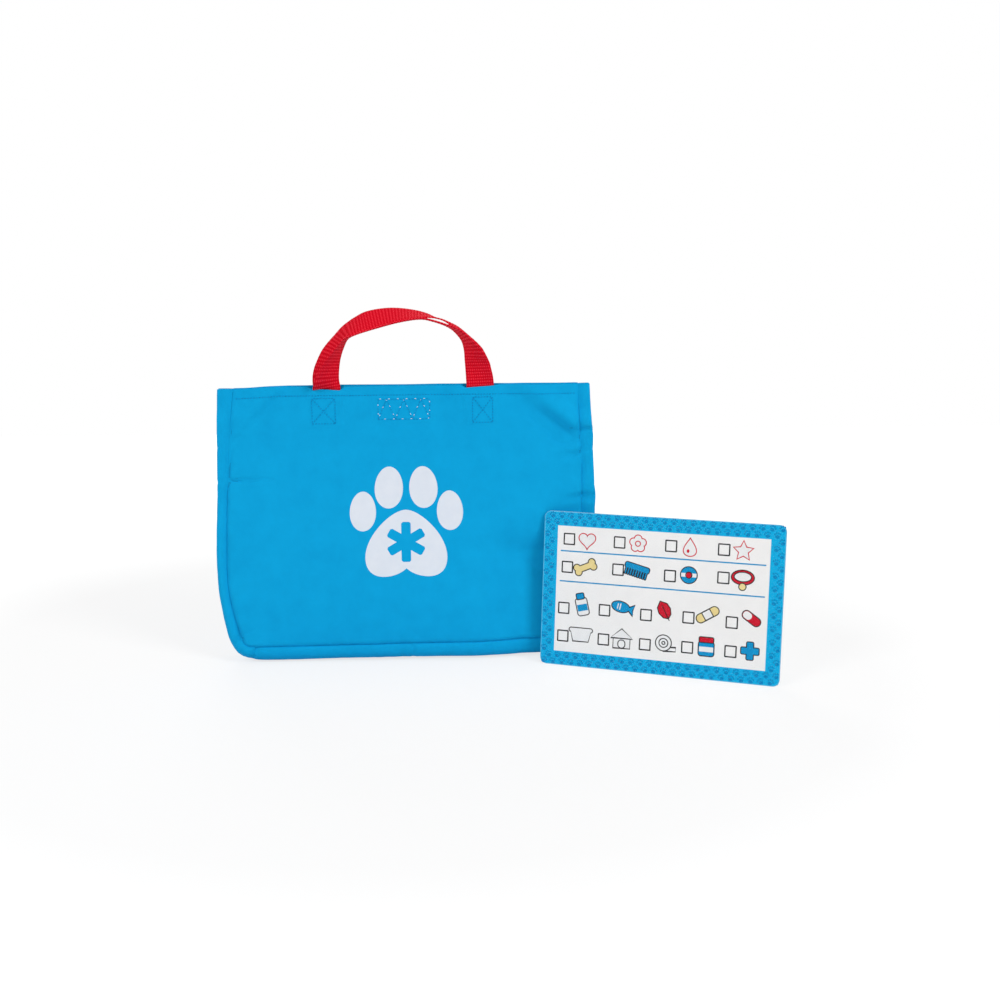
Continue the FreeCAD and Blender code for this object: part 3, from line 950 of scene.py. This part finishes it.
def stitching(name, side, lines, material, nodes, every=1):
    """Single stitches, all or every few of them, along lines of (x, z) on a panel."""
    verts = []
    faces = []
    outward = Vector((0, side, 0))
    number = 0
    for line in lines:
        places = evenly(line, STITCH_PITCH)
        for before, after in zip(places, places[1:]):
            number += 1
            if number % every == 0:
                a = Vector(before)
                b = a + (Vector(after) - a) * (STITCH / STITCH_PITCH)
                add_stitch(verts, faces, on_panel(a.x, a.y, side), on_panel(b.x, b.y, side), outward)
    piece = add_piece(name, verts, faces, material)
    settle(piece, PANEL_BODY[side], "thread", *nodes)


def box_line(left, right, low, high):
    return [(left, low), (right, low), (right, high), (left, high), (left, low)]


def all_stitching(side):
    """A panel's hem line, the boxes and crosses on the strap ends, and the rows round the patch."""
    name = SIDE_NAME[side]
    left = SEAM[0][0] + HEM_LINE_INSET
    right = SEAM[-1][0] - HEM_LINE_INSET
    hem = []
    for number in range(HEM_LINE_POINTS + 1):
        x = left + (right - left) * number / HEM_LINE_POINTS
        hem.append((x, free_edge(x, side) - HEM_LINE_DROP))
    stitching(name + "_hem_thread", side, [hem], blue_thread, [name + "_hem_stitching"])
    boxes = []
    for first, last in BOX_SIDES:
        boxes.append(box_line(first, last, BOX_LOW, BOX_HIGH))
        boxes.append([(first, BOX_LOW), (last, BOX_HIGH)])
        boxes.append([(last, BOX_LOW), (first, BOX_HIGH)])
    stitching(name + "_handle_thread", side, boxes, blue_thread, [name + "_handle_stitching"])
    left = PATCH_LOW[0] + PATCH_MARGIN
    right = PATCH_HIGH[0] - PATCH_MARGIN
    low = PATCH_LOW[2] + PATCH_MARGIN
    high = PATCH_HIGH[2] - PATCH_MARGIN
    zigzag = [(left + (right - left) * n / ZIGZAGS, high if n % 2 else low) for n in range(ZIGZAGS + 1)]
    rows = [box_line(left, right, low, high), zigzag]
    stitching(name + "_closure_thread", side, rows, blue_thread, [name + "_closure_stitching"])
    if side == FRONT:
        lifted = [[(x, z + THREAD_RADIUS) for x, z in row] for row in rows]
        stitching("front_closure_flecks", side, lifted, pale_thread, [], FLECK_EVERY)


# Paw print

STAR_HEIGHT = 112.7 * MM
PRINT_LIFT = 0.12 * MM
PRINT_SPACING = 3.5 * MM
MERGE_GAP = 1e-7
PAD_WIDTH = 74 * MM
PAD_HEIGHT = 60.2 * MM
PAD_BELOW_STAR = 0.52
PAD_LOW = STAR_HEIGHT - PAD_BELOW_STAR * PAD_HEIGHT
PAD_STEPS = 18
STAR_LENGTH = 36 * MM
STAR_WIDTH = 8.6 * MM
STAR_ROUND = 1.4 * MM
# Half of the pad's outline as curves from its top to the notch below, in shares of half its width and of
# its height
PAD_SHARES = (
    ((0.0, 1.0), (0.35, 1.0), (1.0, 0.62), (1.0, 0.29)),
    ((1.0, 0.29), (1.0, 0.09), (0.81, 0.0), (0.55, 0.0)),
    ((0.55, 0.0), (0.36, 0.0), (0.15, 0.04), (0.0, 0.125)),
)
# Toes of the print: side, rise above the star, width, height and outward lean, in millimetres and degrees
TOES = ((39.2, 27.8, 23.6, 35.6, -2), (15.5, 49, 25.4, 37.6, -3))
TOE_STEPS = 48
TOE_TAPER = 0.06
TOE_SHIFT = 0.7 * MM


def bezier_points(poles, count):
    made = []
    for number in range(count):
        t = number / count
        a = 1 - t
        weights = (a ** 3, 3 * a * a * t, 3 * a * t * t, t ** 3)
        made.append(sum((Vector(pole) * weight for pole, weight in zip(poles, weights)), Vector((0, 0))))
    return made


def inside(place, outline):
    """True if a place is inside a closed outline."""
    odd = False
    for a, b in zip(outline, outline[1:] + outline[:1]):
        if (a[1] > place[1]) != (b[1] > place[1]):
            cross = a[0] + (place[1] - a[1]) * (b[0] - a[0]) / (b[1] - a[1])
            if place[0] < cross:
                odd = not odd
    return odd


def filled(outline, hole, spacing):
    """Points and triangles that fill an outline, less a hole, fine enough to follow a curved cloth."""
    def within(place):
        return inside(place, outline) and not (hole and inside(place, hole))

    points = outline + hole
    edges = [(n, (n + 1) % len(outline)) for n in range(len(outline))]
    edges += [(len(outline) + n, len(outline) + (n + 1) % len(hole)) for n in range(len(hole))]
    left, right = min(p.x for p in outline), max(p.x for p in outline)
    low, high = min(p.y for p in outline), max(p.y for p in outline)
    for row in range(1, int((high - low) / spacing)):
        for column in range(1, int((right - left) / spacing)):
            place = Vector((left + column * spacing, low + row * spacing))
            if within(place):
                points.append(place)
    verts, edges, faces = geometry.delaunay_2d_cdt(points, edges, [], 0, MERGE_GAP)[:3]
    kept = []
    for face in faces:
        middle = sum((verts[n] for n in face), Vector((0, 0))) / len(face)
        if within(middle):
            kept.append(tuple(face))
    return verts, kept


def pad_outline():
    """The main pad's outline: its right half and the mirror image of that."""
    half = PAD_WIDTH / 2
    right = []
    for poles in PAD_SHARES:
        right += bezier_points([(half * x, PAD_LOW + PAD_HEIGHT * z) for x, z in poles], PAD_STEPS)
    notch = Vector((0, PAD_LOW + PAD_HEIGHT * PAD_SHARES[-1][-1][1]))
    return right + [notch] + [Vector((-p.x, p.y)) for p in reversed(right[1:])]


def star_outline():
    """Three crossed bars as one outline with six blunt arms."""
    half = STAR_WIDTH / 2
    notch = half / math.sin(math.radians(30))
    outline = []
    for arm in range(6):
        turn = math.radians(60 * arm)
        reach = Vector((math.sin(turn), math.cos(turn))) * (STAR_LENGTH / 2)
        across = Vector((math.cos(turn), -math.sin(turn)))
        back = reach.normalized() * STAR_ROUND
        outline += [reach - across * half - back, reach - across * (half - STAR_ROUND),
                    reach + across * (half - STAR_ROUND), reach + across * half - back]
        gap = math.radians(60 * arm + 30)
        outline.append(Vector((math.sin(gap), math.cos(gap))) * notch)
    return [p + Vector((0, STAR_HEIGHT)) for p in outline]


def toe_outline(hand, side, rise, width, height, lean):
    outline = []
    tilt = math.radians(hand * lean)
    for turn in turns(TOE_STEPS):
        up = math.cos(turn) * height / 2
        out = math.sin(turn) * width / 2 * (1 - TOE_TAPER * math.cos(turn))
        place = Vector((hand * side + out * math.cos(tilt) + up * math.sin(tilt),
                        rise + up * math.cos(tilt) - out * math.sin(tilt)))
        outline.append(place * MM + Vector((TOE_SHIFT, STAR_HEIGHT)))
    return outline


def ink_on_panel(name, shapes, node):
    """A thin coat of print ink over the front panel."""
    verts = []
    faces = []
    for outline, hole in shapes:
        places, triangles = filled(outline, hole, PRINT_SPACING)
        first = len(verts)
        verts += [on_panel(p.x, p.y, FRONT, PRINT_LIFT) for p in places]
        for triangle in triangles:
            corners = [verts[first + n] for n in triangle]
            facing = (corners[1] - corners[0]).cross(corners[2] - corners[0]).y
            ordered = triangle if facing < 0 else triangle[::-1]
            faces.append(tuple(first + n for n in ordered))
    piece = add_piece(name, verts, faces, print_ink)
    thicken(piece, PRINT_LIFT)
    settle(piece, "bag", "print_ink", node)


def paw_print():
    ink_on_panel("paw_pad_ink", [(pad_outline(), star_outline())], "paw_pad_print")
    toes = [(toe_outline(hand, *toe), []) for toe in TOES for hand in (-1, 1)]
    ink_on_panel("paw_toe_ink", toes, "paw_toe_prints")


# Checklist card

BORDER = 12.8 * MM
# Width of the paler ring at the card's very edge, a painted highlight along the edge
RIM = 0.8 * MM
FIELD_CORNER = 0.4 * MM
INK_LIFT = 0.016 * MM
INK = 0.012 * MM
OVERLAP_LIFT = 0.1
FILM_LIFT = 0.2 * MM
FILM = 0.03 * MM
EDGE_LINE = 0.9
LEAST_COSINE = 0.6
BOX = 9.6
BOX_CORNER = 0.3
BOX_LINE = 1.2
DIVIDER = 1.2 * MM
DIVIDER_CORNER = 0.1 * MM
DIVIDER_INSET = 16 * MM
DIVIDERS = (104.5 * MM, 77 * MM)
MOTIF_SHIFT = 21.5
DISC_STEPS = 28
HEART_STEPS = 40
DROP_STEPS = 32
DROP_POINT = 1.4

# Small paws over the card's edge: how many pitches fit along and up the card, how near they come to the
# edge's sides, and the middle, width and height of each round mark of one paw, in millimetres
PAW_PITCHES = (24.5, 23)
PAW_MARGIN = 3.4
PAW_STEPS = 10
PAW_TURNS = (-24, 16, 0, 30)
PAW_MARKS = ((0, -1.2, 3.9, 3.1), (-2.3, 0.9, 1.4, 1.9), (-0.85, 2.1, 1.4, 1.9), (0.85, 2.1, 1.4, 1.9),
             (2.3, 0.9, 1.4, 1.9))


def card_frame():
    """From the card's own axes (along, out of its back, up) to the frame; its low left corner is 0."""
    yaw = Matrix.Rotation(math.radians(-CARD_YAW), 4, "Z")
    turned = yaw @ Matrix.Rotation(math.radians(-CARD_LEAN), 4, "X")
    sheet = frame["nodes"]["card_front_sheet"]
    back = turned.inverted()
    places = [back @ (sheet.matrix_world @ v.co) for v in sheet.data.vertices]
    low = Vector([min(p[axis] for p in places) for axis in range(3)])
    return turned @ Matrix.Translation(low)


CARD = card_frame()


def card_depth():
    """How far the back of the card's back sheet lies behind its front."""
    sheet = frame["nodes"]["card_back_sheet"]
    return max((CARD.inverted() @ (sheet.matrix_world @ v.co)).y for v in sheet.data.vertices)


CARD_DEPTH = card_depth()


def on_card_front(x, z, lift):
    return CARD @ Vector((x, -lift, z))


def on_card_back(x, z, lift):
    return CARD @ Vector((CARD_WIDTH - x, CARD_DEPTH + lift, z))


def rounded_box(left, right, low, high, radius, steps=6):
    outline = []
    corners = ((right - radius, high - radius, 0), (left + radius, high - radius, 90),
               (left + radius, low + radius, 180), (right - radius, low + radius, 270))
    for x, z, start in corners:
        for step in range(steps + 1):
            turn = math.radians(start + 90 * step / steps)
            outline.append((x + radius * math.cos(turn), z + radius * math.sin(turn)))
    return outline


def card_outline(inset, radius):
    return rounded_box(inset, CARD_WIDTH - inset, inset, CARD_HEIGHT - inset, radius)


def disc(x, z, width, height, steps=DISC_STEPS):
    return [(x + width / 2 * math.cos(t), z + height / 2 * math.sin(t)) for t in turns(steps)]


def bar(x, z, width, height, radius):
    return rounded_box(x - width / 2, x + width / 2, z - height / 2, z + height / 2, radius)


def star(points, outer, inner):
    """A star with one point straight up."""
    places = []
    for number in range(2 * points):
        turn = math.pi * number / points
        reach = inner if number % 2 else outer
        places.append((reach * math.sin(turn), reach * math.cos(turn)))
    return places


def heart(size):
    """The common heart curve."""
    outline = []
    for t in reversed(turns(HEART_STEPS)):
        up = 13 * math.cos(t) - 5 * math.cos(2 * t) - 2 * math.cos(3 * t) - math.cos(4 * t)
        outline.append((size * 16 * math.sin(t) ** 3, size * up))
    return outline


def drop(width, height):
    outline = []
    for t in reversed(turns(DROP_STEPS)):
        outline.append((width / 2 * math.sin(t) * math.sin(t / 2) ** DROP_POINT, height / 2 * math.cos(t)))
    return outline


def drawn(fill, *shapes, line="line"):
    """A group of shapes with a line round each."""
    return fill, line, shapes


def plain(fill, *shapes):
    """A group of shapes without a line."""
    return fill, None, shapes


# Drawings of the checklist, in millimetres about their own middle: each is a list of groups, and a group
# has its fill, the colour of the line round it and its shapes
PETALS = [disc(4.2 * math.sin(t), 4.2 * math.cos(t), 6.2, 6.2) for t in (0, 1.26, 2.51, 3.77, 5.03)]
BONE_ENDS = [disc(x, z, 5.6, 5.6) for x in (-7.4, 7.4) for z in (-2.1, 2.1)]
TEETH = [bar(-9.2 + 2.3 * n, -1.6, 1, 6.4, 0.4) for n in range(9)]
FISH_TAIL = [(4, 0), (10.5, 4.6), (9, 0), (10.5, -4.6)]
LEAF = [(0, 9), (4.4, 5), (5.2, 0), (3.4, -4.6), (0, -7), (-3.4, -4.6), (-5.2, 0), (-4.4, 5)]
MOTIFS = {
    "heart": [drawn("white", heart(0.46), line="red")],
    "flower": [drawn("white", *PETALS, line="red"), drawn("white", disc(0, 0, 3.6, 3.6), line="red")],
    "drop": [drawn("white", drop(15, 15), line="red"), plain("red", disc(-1.6, -3.4, 2.4, 3.2))],
    "star": [drawn("white", star(5, 8.4, 3.9), line="red")],
    "bone": [drawn("yellow", *BONE_ENDS, bar(0, 0, 15, 4.8, 1))],
    "ball": [drawn("blue", disc(0, 0, 14, 14)), plain("white", bar(0, 0, 13.6, 3.4, 0.4)),
             drawn("red", disc(0, 0, 4.6, 4.6))],
    "comb": [drawn("blue", bar(0, 3.2, 22, 4.6, 1.6), *TEETH)],
    "collar": [drawn("red", disc(0, 1.5, 19, 12)), drawn("white", disc(0, 2, 14, 7.4)),
               drawn("yellow", disc(0, -6.6, 5.4, 5.4))],
    "fish": [drawn("blue", disc(-2, 0, 16, 9), FISH_TAIL),
             plain("white", bar(-4.6, 0, 0.9, 5, 0.4), bar(-2.4, 0, 0.9, 6, 0.4))],
    "plaster": [drawn("yellow", bar(0, 0, 21, 7, 3.4)), drawn("white", bar(0, 0, 7, 6.6, 0.4))],
    "bottle": [drawn("white", bar(0, -2.6, 10, 15, 2)), plain("blue", bar(0, -3.4, 9.4, 6, 0.2)),
               drawn("blue", bar(0, 7, 6.4, 4.6, 0.8))],
    "leaf": [drawn("red", LEAF), plain("line", bar(0, -2, 0.8, 15, 0.3))],
    "capsule": [drawn("red", bar(0, 0, 17, 7, 3.4)), plain("white", bar(-4.2, 0, 8, 6.4, 3))],
    "bowl": [drawn("white", [(-9.4, 4), (-7, -5.4), (7, -5.4), (9.4, 4)], bar(0, 4.6, 21, 3, 1.4))],
    "kennel": [drawn("white", [(-7.4, 1), (-7.4, -8), (7.4, -8), (7.4, 1)]),
               drawn("white", [(-9.6, 1), (9.6, 1), (0, 8.6)]),
               drawn("white", bar(0, -4.6, 5.6, 6.4, 2.6))],
    "jar": [drawn("blue", bar(0, -1.8, 13, 12, 2)), plain("white", bar(0, -2.2, 12.4, 4.4, 0.2)),
            drawn("red", bar(0, 6.2, 12, 4, 0.8))],
    "roll": [drawn("white", [(0, -6.6), (11, -6.6), (11, -4), (0, -4)]),
             *[drawn("white", disc(0, 0, width, width)) for width in (13.4, 7, 1.8)]],
    "plus": [drawn("blue", bar(0, 0, 15, 5.4, 0.8), bar(0, 0, 5.4, 15, 0.8))],
}
# Rows of the checklist: height of the row, x of its first box, pitch, and each item's drawing, turn and how
# far its box lies below it, in millimetres and degrees
CHECKLIST = (
    (115.5, 19, 46.5, (("heart", 0, 0), ("flower", 0, 0), ("drop", 0, 0), ("star", 0, 0))),
    (91, 18, 47, (("bone", 24, 1), ("comb", -14, 0), ("ball", 0, 2), ("collar", 0, 0))),
    (57.5, 16, 38, (("bottle", 14, 5), ("fish", -12, 4), ("leaf", 28, 5), ("plaster", 32, 4),
                    ("capsule", -34, 5))),
    (29, 16, 38, (("bowl", 0, 2), ("kennel", 0, 2), ("roll", 0, 3), ("jar", 0, 2), ("plus", 0, 2))),
)


class Print:
    """Flat ink on one face of the card, gathered by colour into one mesh each."""

    def __init__(self, name, face):
        self.name = name
        self.face = face
        self.inks = {}
        self.move(0, 0, 0)

    def move(self, x, z, turn):
        """Sets the middle and the turn of what is drawn next."""
        self.place = Matrix.Translation((x, z, 0)) @ Matrix.Rotation(math.radians(turn), 4, "Z")

    def add(self, ink, layer, places, faces):
        verts, made = self.inks.setdefault(ink, ([], []))
        first = len(verts)
        lift = INK_LIFT * (1 + layer)
        for x, z in places:
            here = self.place @ Vector((x, z, 0))
            verts.append(self.face(here.x, here.y, lift))
        for face in faces:
            (ax, az), (bx, bz), (cx, cz) = [places[n] for n in face[:3]]
            seen = (bx - ax) * (cz - az) - (bz - az) * (cx - ax) > 0
            made.append(tuple(first + n for n in (face if seen else face[::-1])))

    def fill(self, ink, layer, outline):
        corners = [Vector((x, z, 0)) for x, z in outline]
        self.add(ink, layer, outline, geometry.tessellate_polygon([corners]))

    def ring(self, ink, layer, outer, inner):
        count = len(outer)
        quads = [(n, (n + 1) % count, count + (n + 1) % count, count + n) for n in range(count)]
        self.add(ink, layer, outer + inner, quads)

    def outline(self, ink, layer, line, width):
        """A line of a width, half inside and half outside a closed outline."""
        points = [Vector(p) for p in line]
        outer = []
        inner = []
        for before, point, after in zip(points[-1:] + points[:-1], points, points[1:] + points[:1]):
            first = (point - before).normalized()
            along = (after - before).normalized()
            across = Vector((along.y, -along.x)) * (width / 2 / max(LEAST_COSINE, first.dot(along)))
            outer.append(tuple(point + across))
            inner.append(tuple(point - across))
        self.ring(ink, layer, outer, inner)

    def motif(self, groups):
        layer = 1
        for fill, edge, shapes in groups:
            for number, shape in enumerate(shapes):
                scaled = [(x * MM, z * MM) for x, z in shape]
                over = OVERLAP_LIFT * number
                if edge:
                    self.outline(edge, layer + over, scaled, 2 * EDGE_LINE * MM)
                self.fill(fill, layer + 1 + over, scaled)
            layer += 2

    def spotted_edge(self):
        """The blue edge of the card with small paws all over it, in tone on tone, and a paler ring outside
        it that is a painted highlight along the card's edge.
        """
        print_edge = card_outline(RIM, CARD_CORNER - RIM)
        # paler outer ring: a painted highlight along the card's edge
        self.ring("painted_rim_highlight", 0, card_outline(0, CARD_CORNER), print_edge)
        self.ring("border", 0, print_edge, card_outline(BORDER, FIELD_CORNER))
        margin = PAW_MARGIN * MM
        along = (CARD_WIDTH - 2 * margin) / PAW_PITCHES[0]
        up = (CARD_HEIGHT - 2 * margin) / PAW_PITCHES[1]
        for row in range(int(CARD_HEIGHT / up)):
            for column in range(int(CARD_WIDTH / along)):
                x = margin + along * (column + row % 2 / 2)
                z = margin + up * row
                inward = min(x, CARD_WIDTH - x, z, CARD_HEIGHT - z)
                if inward <= BORDER - margin + RIM:
                    self.move(x, z, PAW_TURNS[(3 * row + column) % len(PAW_TURNS)])
                    for mark in PAW_MARKS:
                        self.fill("marks", 1, disc(*[value * MM for value in mark], PAW_STEPS))
        self.move(0, 0, 0)

    def finish(self):
        for ink, (verts, faces) in self.inks.items():
            piece = add_piece(self.name + "_" + ink, verts, faces, INKS[ink], smooth=False)
            thicken(piece, INK)
            settle(piece, "card", "card_paper")


def checklist():
    """The card's front print: a spotted edge, two dividing lines and rows of boxes with a drawing each."""
    ink = Print("card_print", on_card_front)
    ink.spotted_edge()
    for height in DIVIDERS:
        ink.fill("blue", 0, rounded_box(DIVIDER_INSET, CARD_WIDTH - DIVIDER_INSET, height - DIVIDER / 2,
                                        height + DIVIDER / 2, DIVIDER_CORNER))
    for height, first, pitch, items in CHECKLIST:
        for number, (name, turn, drop_below) in enumerate(items):
            left = first + pitch * number
            ink.move(0, 0, 0)
            square = bar(left + BOX / 2, height - drop_below, BOX, BOX, BOX_CORNER)
            ink.outline("line", 0, [(x * MM, z * MM) for x, z in square], BOX_LINE * MM)
            ink.move((left + MOTIF_SHIFT) * MM, height * MM, turn)
            ink.motif(MOTIFS[name])
    ink.finish()


def laminate(name, face, node):
    """A clear film over one face of the card."""
    outline = card_outline(0, CARD_CORNER)
    verts = [face(x, z, lift) for lift in (FILM_LIFT, FILM_LIFT + FILM) for x, z in outline]
    piece = add_piece(name, verts, tube_faces(2, len(outline)), film, smooth=False)
    settle(piece, "card", "card_film", node)


def dress(node, material):
    """Gives a CAD node its material."""
    mesh = frame["nodes"][node].data
    mesh.materials.clear()
    mesh.materials.append(material)


def card():
    """The card's board and papers are the solids; films and print are made here."""
    dress("card_board", grey_board)
    dress("card_front_sheet", white_paper)
    dress("card_back_sheet", white_paper)
    checklist()
    back = Print("card_back_print", on_card_back)
    back.spotted_edge()
    back.finish()
    laminate("card_front_laminate", on_card_front, "card_front_film")
    laminate("card_back_laminate", on_card_back, "card_back_film")


# Stage, light and camera

FLOOR_SIZE = 3.0
FLOOR_BOUNCE = 0.9
FLOOR_GLOW = 0.74
FLOOR_TINT = 0.26
FLOOR_FADE = (0.42, 1.0)
CAMERA_PLACE = (0.046, -1.163, 0.373)
CAMERA_HEADING = 1.95
CAMERA_PITCH = 10.98
CAMERA_ROLL = 0.4
CAMERA_LENS = 46.8
CAMERA_SENSOR = 36
AMBIENT = 0.3
# Soft boxes, left and right in front and two weaker ones: place and size in metres, power in watts
SOFT_BOXES = (
    ("key_light", (-1.5, -1.6, 1.5), 0.9, 21.5),
    ("fill_light", (1.6, -1.5, 1.5), 0.9, 28.0),
    ("top_light", (0.1, 0.1, 2.0), 1.0, 4.0),
    ("back_light", (-0.5, 1.9, 1.1), 1.2, 15.0),
)


def seen_directly(tree):
    """1 for what the camera, a reflection or a clear sheet shows, else 0."""
    path = add_node(tree, "ShaderNodeLightPath")
    shown = combined(tree, "MAXIMUM", (path, "Is Glossy Ray"), (path, "Is Transmission Ray"))
    return combined(tree, "MAXIMUM", (path, "Is Camera Ray"), (shown, "Value"))


def floor_material():
    """A white floor: shadows show on it as a pale tint, fading to clear white away from the object."""
    material = bpy.data.materials.new("white_floor")
    material.use_nodes = True
    tree = material.node_tree
    tree.nodes.remove(tree.nodes["Principled BSDF"])
    bounce, tint = [add_node(tree, "ShaderNodeBsdfDiffuse", {"Color": (grey, grey, grey, 1)})
                    for grey in (FLOOR_BOUNCE, FLOOR_TINT)]
    glow = add_node(tree, "ShaderNodeEmission", {"Color": (1, 1, 1, 1)})
    place = add_node(tree, "ShaderNodeNewGeometry")
    away = add_node(tree, "ShaderNodeVectorMath", operation="LENGTH")
    link(tree, place, "Position", away, 0)
    near, far = FLOOR_FADE
    reach = {"From Min": near, "From Max": far, "To Min": FLOOR_GLOW, "To Max": 1.0}
    fade = add_node(tree, "ShaderNodeMapRange", reach)
    link(tree, away, "Value", fade, "Value")
    link(tree, fade, "Result", glow, "Strength")
    shown = add_node(tree, "ShaderNodeAddShader")
    link(tree, tint, "BSDF", shown, 0)
    link(tree, glow, "Emission", shown, 1)
    both = add_node(tree, "ShaderNodeMixShader")
    link(tree, seen_directly(tree), "Value", both, "Fac")
    link(tree, bounce, "BSDF", both, 1)
    link(tree, shown, "Shader", both, 2)
    link(tree, both, "Shader", tree.nodes["Material Output"], "Surface")
    return material


def stage():
    half = FLOOR_SIZE / 2
    corners = [(-half, -half, 0), (half, -half, 0), (half, half, 0), (-half, half, 0)]
    floor = add_piece("floor", corners, [(0, 1, 2, 3)], floor_material(), smooth=False)


def world():
    """White behind the object; a dimmer even light on it."""
    made = bpy.data.worlds.new("studio")
    made.use_nodes = True
    bpy.context.scene.world = made
    tree = made.node_tree
    background = tree.nodes["Background"]
    background.inputs["Color"].default_value = (1, 1, 1, 1)
    strength = add_node(tree, "ShaderNodeMapRange", {"To Min": AMBIENT, "To Max": 1.0})
    link(tree, seen_directly(tree), "Value", strength, "Value")
    link(tree, strength, "Result", background, "Strength")


def lights():
    aim = Vector((0, 0, BAG_TOP / 2))
    for name, place, size, power in SOFT_BOXES:
        data = bpy.data.lights.new(name, "AREA")
        data.size = size
        data.energy = power
        lamp = bpy.data.objects.new(name, data)
        lamp.location = place
        lamp.rotation_euler = (aim - Vector(place)).to_track_quat("-Z", "Y").to_euler()
        bpy.context.scene.collection.objects.link(lamp)


def camera():
    data = bpy.data.cameras.new("camera")
    data.lens = CAMERA_LENS
    data.sensor_width = CAMERA_SENSOR
    eye = bpy.data.objects.new("camera", data)
    eye.matrix_world = Matrix.Translation(CAMERA_PLACE)
    for degrees, axis in ((-CAMERA_HEADING, "Z"), (90 - CAMERA_PITCH, "X"), (-CAMERA_ROLL, "Z")):
        eye.matrix_world @= Matrix.Rotation(math.radians(degrees), 4, axis)
    bpy.context.scene.collection.objects.link(eye)
    bpy.context.scene.camera = eye


for side in (FRONT, BACK):
    panel(side)
    binding(side)
    closure(side)
    all_stitching(side)
    strap(side)
gusset()
paw_print()
card()
stage()
world()
lights()
camera()
bpy.context.scene.view_settings.view_transform = "Standard"
